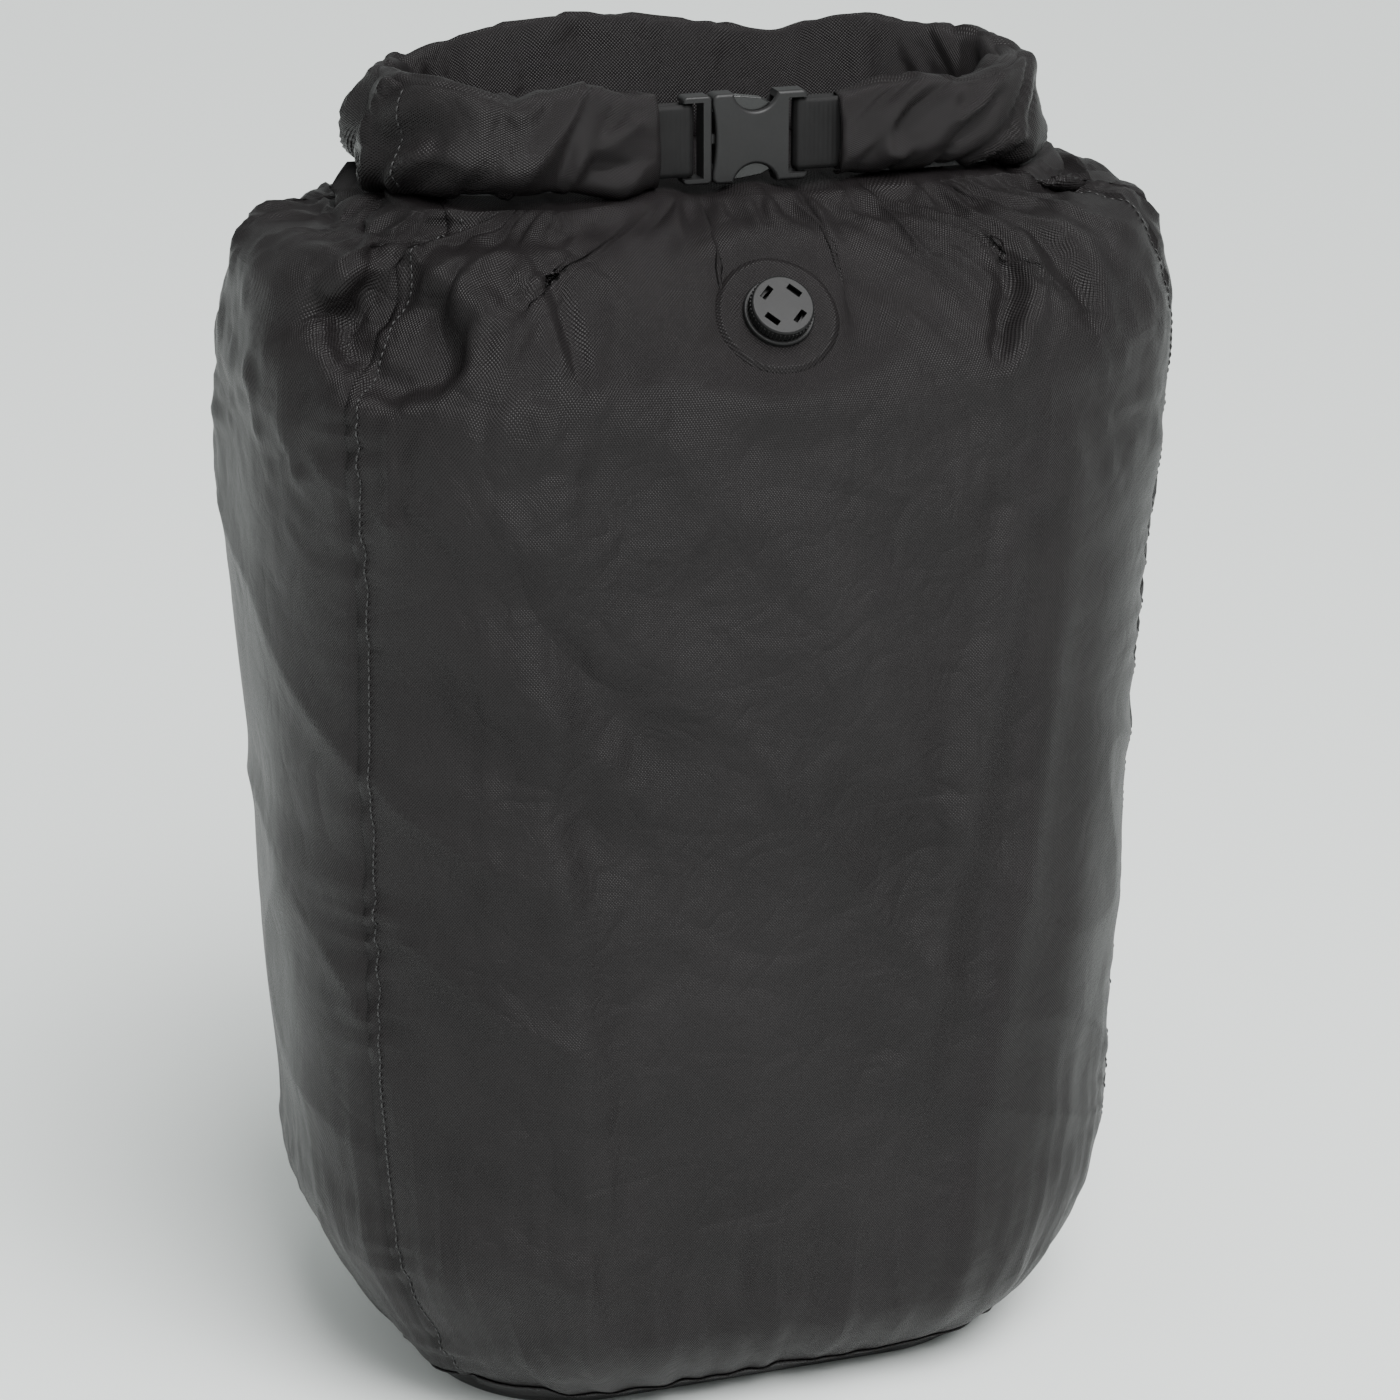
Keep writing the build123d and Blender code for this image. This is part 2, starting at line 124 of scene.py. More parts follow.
def apply_modifiers(obj: Piece) -> None:
    """Apply every modifier of the object, in order."""
    make_active(obj)
    for modifier in list(obj.modifiers):
        bpy.ops.object.modifier_apply(modifier=modifier.name)


def mesh_object(name: str, points: np.ndarray, faces: list, uvs: np.ndarray | None = None) -> Piece:
    """Make a smooth-shaded mesh object in the scene.

    Args:
        name: Name of the piece.
        points: Corner points, one row each.
        faces: Lists of corner numbers.
        uvs: One UV for each corner point, in metres, or None.

    Returns:
        The new object.
    """
    mesh = bpy.data.meshes.new(name)
    mesh.from_pydata([tuple(p) for p in points], [], [tuple(int(i) for i in f) for f in faces])
    if uvs is not None:
        layer = mesh.uv_layers.new(name="weave")
        corner = np.empty(len(mesh.loops), int)
        mesh.loops.foreach_get("vertex_index", corner)
        layer.data.foreach_set("uv", np.asarray(uvs, np.float32)[corner].ravel())
    mesh.polygons.foreach_set("use_smooth", [True] * len(mesh.polygons))
    mesh.update()
    obj = bpy.data.objects.new(name, mesh)
    bpy.context.scene.collection.objects.link(obj)
    return obj


def grid_faces(rows: int, columns: int, closed: bool) -> list:
    """Faces of a grid of points stored row by row.

    Args:
        rows: Number of rows.
        columns: Points in a row.
        closed: Whether each row joins up with its own start.

    Returns:
        Quads as lists of point numbers.
    """
    last = columns if closed else columns - 1
    faces = []
    for j in range(rows - 1):
        for i in range(last):
            k = (i + 1) % columns
            faces.append((j * columns + k, j * columns + i, (j + 1) * columns + i, (j + 1) * columns + k))
    return faces


def crease(points: np.ndarray, sizes: tuple, seed: float) -> np.ndarray:
    """Sharp-ridged folds: 1 on a ridge, falling to 0 between ridges.

    Args:
        points: Points, one row each.
        sizes: Distance between ridges along each axis.
        seed: Offset that picks another pattern.

    Returns:
        One value for each point.
    """
    return np.clip(1 - 2.9 * np.abs(soft_noise(points, sizes, seed)), 0, 1) ** 1.3


def refine_rows(grid: np.ndarray, closed: bool) -> np.ndarray:
    """Put a point between every two along the first axis and round the result.

    Args:
        grid: Rows of points.
        closed: Whether the last row joins the first.

    Returns:
        The finer rows.
    """
    after = np.roll(grid, -1, 0) if closed else np.concatenate([grid[1:], grid[-1:]])
    before = np.roll(grid, 1, 0) if closed else np.concatenate([grid[:1], grid[:-1]])
    kept = (before + 6 * grid + after) / 8
    if not closed:
        kept[0], kept[-1] = grid[0], grid[-1]
    fine = np.empty((2 * len(grid),) + grid.shape[1:])
    fine[0::2], fine[1::2] = kept, (grid + after) / 2
    return fine if closed else fine[:-1]


def grid_normals(grid: np.ndarray, closed: bool) -> np.ndarray:
    """Outward normals of a skin stored as rows of points.

    Args:
        grid: Rows of points.
        closed: Whether each row joins its own start.

    Returns:
        One unit normal for each point.
    """
    if closed:
        across = np.roll(grid, -1, 1) - np.roll(grid, 1, 1)
    else:
        across = np.gradient(grid, axis=1)
    up = np.gradient(grid, axis=0)
    normal = np.cross(up, across)
    return normal / (np.linalg.norm(normal, axis=2)[..., None] + 1e-12)


def edit_all(obj: Piece, operator: Callable, **options: object) -> None:
    """Run one mesh operator on the whole of a piece."""
    make_active(obj)
    bpy.ops.object.mode_set(mode="EDIT")
    bpy.ops.mesh.select_all(action="SELECT")
    operator(**options)
    bpy.ops.object.mode_set(mode="OBJECT")


def face_outwards(obj: Piece) -> None:
    """Turn all of a closed piece's faces outwards."""
    edit_all(obj, bpy.ops.mesh.normals_make_consistent, inside=False)


def thicken(obj: Piece, thickness: float) -> None:
    """Give a sheet its thickness, inwards from its outer face."""
    wall = obj.modifiers.new("wall", "SOLIDIFY")
    wall.thickness = thickness
    wall.offset = -1
    apply_modifiers(obj)


# ---------------------------------------------------------------- finishes


class Texture(Enum):
    """Kinds of surface that the finishes are made from."""

    WOVEN = "woven"
    RIBBED = "ribbed"
    MOULDED = "moulded"


def math_node(tree: Tree, operation: str, *values: object) -> Socket:
    """Add a math node and return its output; the values are sockets or numbers for its inputs."""
    node = tree.nodes.new("ShaderNodeMath")
    node.operation = operation
    for number, value in enumerate(values):
        if isinstance(value, Socket):
            tree.links.new(value, node.inputs[number])
        else:
            node.inputs[number].default_value = value
    return node.outputs[0]


class Effect:
    """A node group that several finishes share: it reads a place and a length, and gives one value.

    Attributes:
        label: Name of the group.
        length: Name of its length input.
        default: The length where none is given.
    """

    label = ""
    length = ""
    default = 0.0

    def tree(self) -> Tree:
        """Build the group, or return it if it has been built."""
        if self.label in bpy.data.node_groups:
            return bpy.data.node_groups[self.label]
        tree = bpy.data.node_groups.new(self.label, "ShaderNodeTree")
        tree.interface.new_socket("Vector", in_out="INPUT", socket_type="NodeSocketVector")
        size = tree.interface.new_socket(self.length, in_out="INPUT", socket_type="NodeSocketFloat")
        size.default_value = self.default
        tree.interface.new_socket("Value", in_out="OUTPUT", socket_type="NodeSocketFloat")
        start, end = tree.nodes.new("NodeGroupInput"), tree.nodes.new("NodeGroupOutput")
        value = self.value(tree, start.outputs["Vector"], start.outputs[self.length])
        tree.links.new(value, end.inputs["Value"])
        return tree

    def value(self, tree: Tree, at: Socket, length: Socket) -> Socket:
        """Work out the effect.

        Args:
            tree: The group's nodes.
            at: Where the effect is read.
            length: The length input.

        Returns:
            The socket that gives the value.
        """
        raise NotImplementedError

    def place(self, tree: Tree, at: Socket, length: float) -> Socket:
        """Place the effect in a material, read at a place and with its own length."""
        node = tree.nodes.new("ShaderNodeGroup")
        node.node_tree = self.tree()
        node.inputs[self.length].default_value = length
        tree.links.new(at, node.inputs["Vector"])
        return node.outputs["Value"]

    @staticmethod
    def cloud(tree: Tree, at: Socket, scale: Socket, detail: float) -> bpy.types.ShaderNode:
        """Add a noise texture with a scale socket."""
        node = tree.nodes.new("ShaderNodeTexNoise")
        node.inputs["Detail"].default_value = detail
        tree.links.new(at, node.inputs["Vector"])
        tree.links.new(scale, node.inputs["Scale"])
        return node


class Weave(Effect):
    """Plain weave: threads that pass over and under each other at a given pitch."""

    label, length, default = "thread_weave", "Pitch", 0.7 * MM

    def value(self, tree: Tree, at: Socket, length: Socket) -> Socket:
        """Two crossed waves, from 0 to 1."""
        split = tree.nodes.new("ShaderNodeSeparateXYZ")
        tree.links.new(at, split.inputs[0])
        waves = []
        for axis in (0, 1):
            share = math_node(tree, "DIVIDE", split.outputs[axis], length)
            waves.append(math_node(tree, "SINE", math_node(tree, "MULTIPLY", share, 2 * math.pi)))
        both = math_node(tree, "MULTIPLY", waves[0], waves[1])
        return math_node(tree, "MULTIPLY_ADD", both, 0.5, 0.5)


class Ribs(Effect):
    """Close round ribs along one axis."""

    label, length, default = "woven_ribs", "Pitch", 1.7 * MM

    def value(self, tree: Tree, at: Socket, length: Socket) -> Socket:
        """Rounded wave along the first axis."""
        split = tree.nodes.new("ShaderNodeSeparateXYZ")
        tree.links.new(at, split.inputs[0])
        half_turn = math_node(tree, "MULTIPLY", math_node(tree, "DIVIDE", split.outputs[0], length), math.pi)
        wave = math_node(tree, "ABSOLUTE", math_node(tree, "SINE", half_turn))
        return math_node(tree, "SQRT", wave)


class Crinkle(Effect):
    """Thin sharp creases, as pressed into coated cloth."""

    label, length, default = "cloth_crinkle", "Size", 30 * MM

    def value(self, tree: Tree, at: Socket, length: Socket) -> Socket:
        """Three sizes of ridged noise."""
        parts = []
        for factor, weight in ((1.0, 0.6), (2.3, 0.3), (6.0, 0.1)):
            cloud = self.cloud(tree, at, math_node(tree, "DIVIDE", factor, length), 1)
            cloud.inputs["Distortion"].default_value = 0.6
            middle = math_node(tree, "SUBTRACT", cloud.outputs["Fac"], 0.5)
            ridge = math_node(tree, "MULTIPLY", math_node(tree, "ABSOLUTE", middle), 6)
            parts.append(math_node(tree, "MULTIPLY", math_node(tree, "MINIMUM", ridge, 1), weight))
        return math_node(tree, "ADD", math_node(tree, "ADD", parts[0], parts[1]), parts[2])


class Mottle(Effect):
    """Soft uneven tone made of two sizes of noise."""

    label, length, default = "soft_mottle", "Size", 50 * MM

    def value(self, tree: Tree, at: Socket, length: Socket) -> Socket:
        """Two sizes of soft noise."""
        parts = []
        for factor, weight in ((1.0, 0.65), (5.0, 0.35)):
            cloud = self.cloud(tree, at, math_node(tree, "DIVIDE", factor, length), 3)
            parts.append(math_node(tree, "MULTIPLY", cloud.outputs["Fac"], weight))
        return math_node(tree, "ADD", parts[0], parts[1])


@dataclass(frozen=True)
class Finish:
    """One finish of the sack.

    Attributes:
        name: Name of the material.
        dark: Colour in the low tone.
        light: Colour in the high tone.
        roughness: Low and high roughness.
        texture: Kind of surface.
        pitch: Distance between threads, ribs or grains.
        depth: Height of the threads, ribs or grains.
        tone_size: Size of the patches of tone.
        sheen: Weight of the fabric sheen.
        specular: Strength of the mirror reflection.
        coat: Weight of a clear coat.
        crinkle: Height of the small sharp creases, or 0.
        ior: Index of refraction.
        uses_weave_map: Whether the pattern follows the cloth's own map.
    """

    name: str
    dark: tuple
    light: tuple
    roughness: tuple
    texture: Texture
    pitch: float
    depth: float
    tone_size: float = 0.05
    sheen: float = 0.0
    specular: float = 0.5
    coat: float = 0.0
    crinkle: float = 0.0
    ior: float = 1.5
    uses_weave_map: bool = True

    def material(self) -> bpy.types.Material:
        """Build the material, or return it if it has been built."""
        if self.name in bpy.data.materials:
            return bpy.data.materials[self.name]
        made = bpy.data.materials.new(self.name)
        made.use_nodes = True
        tree = made.node_tree
        shader = tree.nodes["Principled BSDF"]
        shader.inputs["Specular IOR Level"].default_value = self.specular
        shader.inputs["IOR"].default_value = self.ior
        shader.inputs["Sheen Weight"].default_value = self.sheen
        shader.inputs["Sheen Roughness"].default_value = 0.4
        shader.inputs["Coat Weight"].default_value = self.coat
        shader.inputs["Coat Roughness"].default_value = 0.35
        place = tree.nodes.new("ShaderNodeTexCoord").outputs["Object"]
        pattern_at = place
        if self.uses_weave_map:
            chart = tree.nodes.new("ShaderNodeUVMap")
            chart.uv_map = "weave"
            pattern_at = chart.outputs["UV"]
        tone = Mottle().place(tree, place, self.tone_size)
        relief = self.relief(tree, pattern_at)
        mix = tree.nodes.new("ShaderNodeMix")
        mix.data_type = "RGBA"
        mix.inputs["A"].default_value = (*self.dark, 1)
        mix.inputs["B"].default_value = (*self.light, 1)
        shade = math_node(tree, "MULTIPLY_ADD", relief, 0.5, math_node(tree, "MULTIPLY", tone, 0.7))
        ramp = tree.nodes.new("ShaderNodeMapRange")
        ramp.inputs["From Min"].default_value = 0.25
        ramp.inputs["From Max"].default_value = 0.95
        tree.links.new(shade, ramp.inputs["Value"])
        tree.links.new(ramp.outputs["Result"], mix.inputs["Factor"])
        tree.links.new(mix.outputs["Result"], shader.inputs["Base Color"])
        rough = tree.nodes.new("ShaderNodeMapRange")
        rough.inputs["To Min"].default_value, rough.inputs["To Max"].default_value = self.roughness
        tree.links.new(tone, rough.inputs["Value"])
        tree.links.new(rough.outputs["Result"], shader.inputs["Roughness"])
        bump = tree.nodes.new("ShaderNodeBump")
        bump.inputs["Strength"].default_value = 0.6
        bump.inputs["Distance"].default_value = self.depth
        tree.links.new(relief, bump.inputs["Height"])
        if self.crinkle:
            creased = tree.nodes.new("ShaderNodeBump")
            creased.inputs["Strength"].default_value = 0.55
            creased.inputs["Distance"].default_value = self.crinkle
            lines = Crinkle().place(tree, place, CRINKLE_SIZE)
            tree.links.new(lines, creased.inputs["Height"])
            tree.links.new(creased.outputs["Normal"], bump.inputs["Normal"])
        tree.links.new(bump.outputs["Normal"], shader.inputs["Normal"])
        return made

    def relief(self, tree: Tree, at: Socket) -> Socket:
        """Height of the surface's fine pattern.

        Args:
            tree: The material's nodes.
            at: Where the pattern is read.

        Returns:
            The socket that gives the height.
        """
        if self.texture is Texture.WOVEN:
            return Weave().place(tree, at, self.pitch)
        if self.texture is Texture.RIBBED:
            return Ribs().place(tree, at, self.pitch)
        return Mottle().place(tree, at, self.pitch * 4)


SACK_CLOTH = Finish(
    name="sack_taffeta", dark=(0.0055, 0.0048, 0.0050), light=(0.019, 0.0168, 0.0174),
    roughness=(0.3, 0.42), texture=Texture.WOVEN, pitch=1.25 * MM, depth=0.5 * MM, tone_size=0.09,
    crinkle=1.9 * MM, ior=1.24,
)
TAPE = Finish(
    name="seam_film", dark=(0.12, 0.12, 0.125), light=(0.19, 0.19, 0.2), roughness=(0.3, 0.45),
    texture=Texture.MOULDED, pitch=1 * MM, depth=0.03 * MM,
)
BINDING = Finish(
    name="binding_weave", dark=(0.012, 0.012, 0.013), light=(0.03, 0.03, 0.031), roughness=(0.6, 0.75),
    texture=Texture.RIBBED, pitch=1.2 * MM, depth=0.15 * MM, uses_weave_map=False,
)
STIFFENER = Finish(
    name="stiffener_sheet", dark=(0.04, 0.04, 0.04), light=(0.06, 0.06, 0.06), roughness=(0.35, 0.5),
    texture=Texture.MOULDED, pitch=0.6 * MM, depth=0.03 * MM, uses_weave_map=False,
)
WEBBING = Finish(
    name="ribbed_webbing", dark=(0.0025, 0.0024, 0.0025), light=(0.014, 0.0135, 0.0138),
    roughness=(0.5, 0.66), texture=Texture.WOVEN, pitch=0.6 * MM, depth=0.12 * MM, tone_size=0.012,
    ior=1.3,
)
BUCKLE = Finish(
    name="buckle_moulding", dark=(0.006, 0.0058, 0.006), light=(0.014, 0.0136, 0.014),
    roughness=(0.42, 0.54), texture=Texture.MOULDED, pitch=0.25 * MM, depth=0.05 * MM, tone_size=0.02,
    ior=1.42, uses_weave_map=False,
)
PRONG = Finish(
    name="prong_moulding", dark=(0.005, 0.005, 0.0052), light=(0.01, 0.0098, 0.01),
    roughness=(0.2, 0.3), texture=Texture.MOULDED, pitch=0.4 * MM, depth=0.02 * MM, tone_size=0.02,
    coat=0.2, uses_weave_map=False,
)
VALVE = Finish(
    name="valve_moulding", dark=(0.004, 0.0039, 0.004), light=(0.009, 0.0088, 0.009),
    roughness=(0.34, 0.46), texture=Texture.MOULDED, pitch=0.25 * MM, depth=0.03 * MM, tone_size=0.01,
    ior=1.3, uses_weave_map=False,
)
RUBBER = Finish(
    name="valve_silicone", dark=(0.02, 0.02, 0.02), light=(0.035, 0.035, 0.035), roughness=(0.5, 0.6),
    texture=Texture.MOULDED, pitch=0.5 * MM, depth=0.02 * MM, uses_weave_map=False,
)
THREAD = Finish(
    name="polyester_thread", dark=(0.007, 0.0068, 0.007), light=(0.022, 0.021, 0.0215),
    roughness=(0.4, 0.5), texture=Texture.MOULDED, pitch=0.3 * MM, depth=0.06 * MM, tone_size=0.004,
    sheen=0.1, uses_weave_map=False,
)
NODE_FINISHES = {
    "mouth_hem": BINDING,
    "mouth_stiffener": STIFFENER,
    "buckle_socket": BUCKLE,
    "buckle_plug": BUCKLE,
    "upper_prong": PRONG,
    "lower_prong": PRONG,
    "valve_body": VALVE,
    "valve_collar": VALVE,
    "valve_presser": VALVE,
    "valve_cap": VALVE,
    "valve_membrane": RUBBER,
    "valve_seal": RUBBER,
}


def dress(obj: Piece, finish: Finish) -> None:
    """Give the piece one finish all over."""
    obj.data.materials.clear()
    obj.data.materials.append(finish.material())


# ---------------------------------------------------------------- sack body


@dataclass
class BodyShape:
    """Sections of the stuffed body, from the floor up to the neck.

    Each section is a height, a half width, a depth to the front and a depth to the back.
    """

    width: float = 2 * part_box("right_gusset")[1].x
    depth: float = 2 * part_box("back_panel")[1].y
    neck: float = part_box("front_panel")[1].z
    corner_share: float = 0.8
    heights: tuple = (0, 10, 30, 70, 140, 239, 330, 373, 402, 436, 445)
    side_insets: tuple = (62, 52, 35, 15, 11, 7, 4, 1.5, 0, 4, 31)
    front_insets: tuple = (45, 27, 7, 2, 3, 2, 1, 0, 1, 29, 58)
    back_insets: tuple = (49, 39, 23, 10, 3, 1, 0, 1, 7, 29, 68)

    def section(self, z: np.ndarray, softness: float = 9 * MM) -> tuple:
        """Half width and depths at each height.

        Args:
            z: Heights.
            softness: Distance over which the stations are rounded.

        Returns:
            Arrays of half width, front depth and back depth.
        """
        stations = np.array(self.heights) * MM
        offsets = np.linspace(-1, 1, 9) * softness
        result = []
        for total, insets in (
            (self.width / 2, self.side_insets),
            (self.depth / 2, self.front_insets),
            (self.depth / 2, self.back_insets),
        ):
            values = total - np.array(insets) * MM
            result.append(np.mean([np.interp(z + o, stations, values) for o in offsets], axis=0))
        return tuple(result)

    def ring(
        self, half_width: float, front: float, back: float, share: float, fractions: np.ndarray
    ) -> np.ndarray:
        """Points round one section, from the middle of the front towards the left.

        Args:
            half_width: Half width of the section.
            front: Depth to the front.
            back: Depth to the back.
            share: Corner radius over half the depth.
            fractions: Where the points lie, as shares of the way round.

        Returns:
            Points as rows of x and y.
        """
        half = (front + back) / 2
        radius = share * half
        angle = np.linspace(0, 2 * math.pi, 721)
        x = -np.sin(angle)
        y = -np.cos(angle)
        px = np.sign(x) * (half_width - radius) + radius * x
        py = np.sign(y) * (half - radius) + radius * y + (back - front) / 2
        px[np.abs(x) < 1e-9] = 0
        px[0] = px[-1] = 0
        py[0] = py[-1] = -front
        step = np.hypot(np.diff(px), np.diff(py))
        along = np.concatenate([[0], np.cumsum(step)])
        at = (np.asarray(fractions) % 1) * along[-1]
        return np.stack([np.interp(at, along, px), np.interp(at, along, py)], axis=1)


@dataclass
class Seam:
    """One corner seam of the sack.

    Attributes:
        name: Where the seam runs.
        share: How far out it lies, over the half width.
        side: -1 at the front, 1 at the back.
        hand: -1 on the left, 1 on the right.
        column: The fine skin's column that it follows, found when the skin is made.
    """

    name: str
    share: float
    side: int
    hand: int
    column: int = 0


@dataclass
class SackBody:
    """The stuffed body: four wall panels and a base, cut from one simulated skin."""

    shape: BodyShape = field(default_factory=BodyShape)
    columns: int = 208
    row_step: float = 5 * MM
    ease: float = 1.014
    crown: float = 372 * MM
    gather_count: int = 13
    slack: float = 1.2
    gather_frames: int = 22
    settle_frames: int = 45
    cache_frames: int = 60
    base_row: int = 0
    seams: list = field(
        default_factory=lambda: [
            Seam("front_left", 0.885, -1, -1),
            Seam("rear_left", 0.9, 1, -1),
            Seam("rear_right", 0.9, 1, 1),
            Seam("front_right", 0.95, -1, 1),
        ]
    )

    def profile(self) -> tuple:
        """Heights of the cloth's rows, and how far each is above the crown along the cloth."""
        z = np.linspace(0, self.shape.neck, 1500)
        a, f, b = self.shape.section(z)
        run = np.hypot(np.diff(z), np.hypot(np.diff(a), np.diff((f + b) / 2)) * 0.75)
        along = np.concatenate([[0], np.cumsum(run)])
        count = int(round(along[-1] / self.row_step)) + 1
        rows = np.linspace(0, along[-1], count)
        above = rows - np.interp(self.crown, z, along)
        return np.interp(rows, along, z), np.where(above > 0, above * self.slack, above)

    def loose_tube(self) -> np.ndarray:
        """The cut cloth before its mouth is gathered, as rows of points."""
        heights, above = self.profile()
        fractions = np.arange(self.columns) / self.columns
        rows = []
        for z, extra in zip(heights, above):
            level = min(z, self.crown)
            a, f, b = (v[0] * self.ease for v in self.shape.section(np.array([level])))
            ring = self.shape.ring(a, f, b, self.shape.corner_share, fractions)
            height = z if extra < 0 else self.crown + extra
            rows.append(np.column_stack([ring, np.full(self.columns, height)]))
        return np.array(rows)

    def gathered_neck(self) -> np.ndarray:
        """Where the mouth's edge lies once it is gathered under the roll."""
        low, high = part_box("rolled_mouth")
        middle = (low + high) / 2
        depth = (high.y - low.y) / 2 - 2 * MM
        width = (high.x - low.x) / 2 - 2 * MM
        p = np.arange(self.columns) / self.columns
        wander = 0.35 * np.sin(2 * math.pi * 3 * p + 0.8) + 0.22 * np.sin(2 * math.pi * 5 * p + 2.1)
        wave = p * self.gather_count + wander
        ring = self.shape.ring(width, depth, depth, 0.98, p + 0.004 * np.sin(4 * math.pi * wave))
        outward = ring / np.linalg.norm(ring, axis=1)[:, None]
        calm = 1 - 0.75 * np.exp(-((ring[:, 0] / (38 * MM)) ** 2)) * (ring[:, 1] < 0)
        swing = (6.8 + 2.6 * np.sin(2 * math.pi * 4 * p + 0.5)) * MM * calm
        ring = ring + outward * (swing * np.sin(2 * math.pi * wave))[:, None]
        return np.column_stack([ring + [middle.x, middle.y], low.z + np.where(ring[:, 1] < 0, 4.6, 3.0) * MM])

    def stuffing(self) -> Piece:
        """A lumpy closed body that stands for what is packed in the sack while the cloth settles."""
        heights = np.linspace(1 * MM, self.shape.neck - 7 * MM, 74)
        around = 120
        fractions = np.arange(around) / around
        rows = []
        for z in heights:
            a, f, b = (v[0] - 2.5 * MM for v in self.shape.section(np.array([z])))
            ring = self.shape.ring(a, f, b, self.shape.corner_share, fractions)
            rows.append(np.column_stack([ring, np.full(around, z)]))
        points = np.array(rows).reshape(-1, 3)
        outward = points * [1, 1, 0]
        outward /= np.linalg.norm(outward, axis=1)[:, None] + 1e-9
        lumps = 3.2 * MM * soft_noise(points * [1, 1, 0.8], 85 * MM, 3.1)
        lumps += 1.2 * MM * soft_noise(points, 38 * MM, 7.7)
        points = points + outward * np.minimum(lumps, 1.5 * MM)[:, None]
        faces = grid_faces(len(heights), around, True)
        top, bottom = len(points), len(points) + 1
        points = np.vstack([points, [0, 0, heights[-1]], [0, 0, heights[0]]])
        start = (len(heights) - 1) * around
        faces += [(start + (i + 1) % around, start + i, top) for i in range(around)]
        faces += [(i, (i + 1) % around, bottom) for i in range(around)]
        return mesh_object("stuffing", points, faces)

    def settle(self) -> np.ndarray:
        """Gather the mouth over the stuffing by cloth simulation.

        Returns:
            The settled skin, as rows of points.
        """
        loose = self.loose_tube()
        rows, columns = loose.shape[:2]
        flat = loose.reshape(-1, 3)
        skin = mesh_object("skin", flat, grid_faces(rows, columns, True))
        stuffing = self.stuffing()
        skin.shape_key_add(name="Basis")
        key = skin.shape_key_add(name="gathered")
        target = flat.copy()
        target[-columns:] = self.gathered_neck()
        key.data.foreach_set("co", target.ravel())
        for frame_number, value in ((1, 0.0), (self.gather_frames, 1.0)):
            key.value = value
            key.keyframe_insert("value", frame=frame_number)
        pins = skin.vertex_groups.new(name="pins")
        pins.add(list(range(columns)) + list(range((rows - 1) * columns, rows * columns)), 1.0, "REPLACE")

        stuffing.modifiers.new("collision", "COLLISION")
        stuffing.collision.thickness_outer = 1.2 * MM
        stuffing.collision.cloth_friction = 6
        cloth = skin.modifiers.new("cloth", "CLOTH")
        settings = cloth.settings
        settings.quality = 7
        settings.mass = 0.12
        settings.air_damping = 2
        settings.tension_stiffness = settings.compression_stiffness = 18
        settings.shear_stiffness = 8
        settings.bending_stiffness = 1.6
        settings.tension_damping = settings.compression_damping = 8
        settings.shear_damping = 4
        settings.vertex_group_mass = "pins"
        settings.pin_stiffness = 1
        settings.use_pressure = True
        settings.uniform_pressure_force = 1.6
        cloth.collision_settings.collision_quality = 3
        cloth.collision_settings.distance_min = 1 * MM
        cloth.point_cache.frame_start, cloth.point_cache.frame_end = 1, self.cache_frames
        scene = bpy.context.scene
        for number in range(1, self.settle_frames + 1):
            scene.frame_set(number)
        evaluated = skin.evaluated_get(bpy.context.evaluated_depsgraph_get())
        settled = np.empty(len(flat) * 3)
        evaluated.data.vertices.foreach_get("co", settled)
        scene.frame_set(1)
        for obj in (skin, stuffing):
            bpy.data.objects.remove(obj, do_unlink=True)
        return settled.reshape(rows, columns, 3)

    def build(self) -> dict:
        """Make the panels, base, hidden tapes and stitching.

        Returns:
            The pieces by name.
        """
        skin = self.settle()
        heights, _ = self.profile()
        level = int(np.argmin(np.abs(heights - 200 * MM)))
        loose = self.loose_tube()[level]
        for seam in self.seams:
            reach = seam.share * np.abs(loose[:, 0]).max()
            miss = np.abs(loose[:, 0] * seam.hand - reach) + 1.0 * (loose[:, 1] * seam.side < 0)
            seam.column = 2 * int(np.argmin(miss))
        fine = refine_rows(skin, False)
        fine = refine_rows(fine.transpose(1, 0, 2), True).transpose(1, 0, 2)
        fine = self.calm_front(fine)
        fine = self.fold(fine)
        fine = self.seat_valve(fine)
        fine = self.pucker(fine)
        self.base_row = 2 * int(np.argmin(np.abs(heights - 10 * MM)))
        covered = np.concatenate([fine, self.neck_lid(fine[-1])])
        pieces = self.panels(covered)
        pieces.update(self.base(fine))
        pieces.update(self.tapes(fine))
        pieces.update(self.stitching(fine))
        return pieces

    def calm_front(self, skin: np.ndarray) -> np.ndarray:
        """Relax the cloth below the valve, where it lies smooth over the contents."""
        x, y, z = skin[..., 0], skin[..., 1], skin[..., 2]
        share = smooth_step(58 * MM, 26 * MM, np.abs(x)) * (y < 0) * smooth_step(412 * MM, 396 * MM, z)
        share = (share * smooth_step(40 * MM, 90 * MM, z) * 0.95)[..., None]
        for _ in range(70):
            eased = (np.roll(skin, 1, 1) + np.roll(skin, -1, 1)) / 2
            skin = skin * (1 - share) + eased * share
        return skin

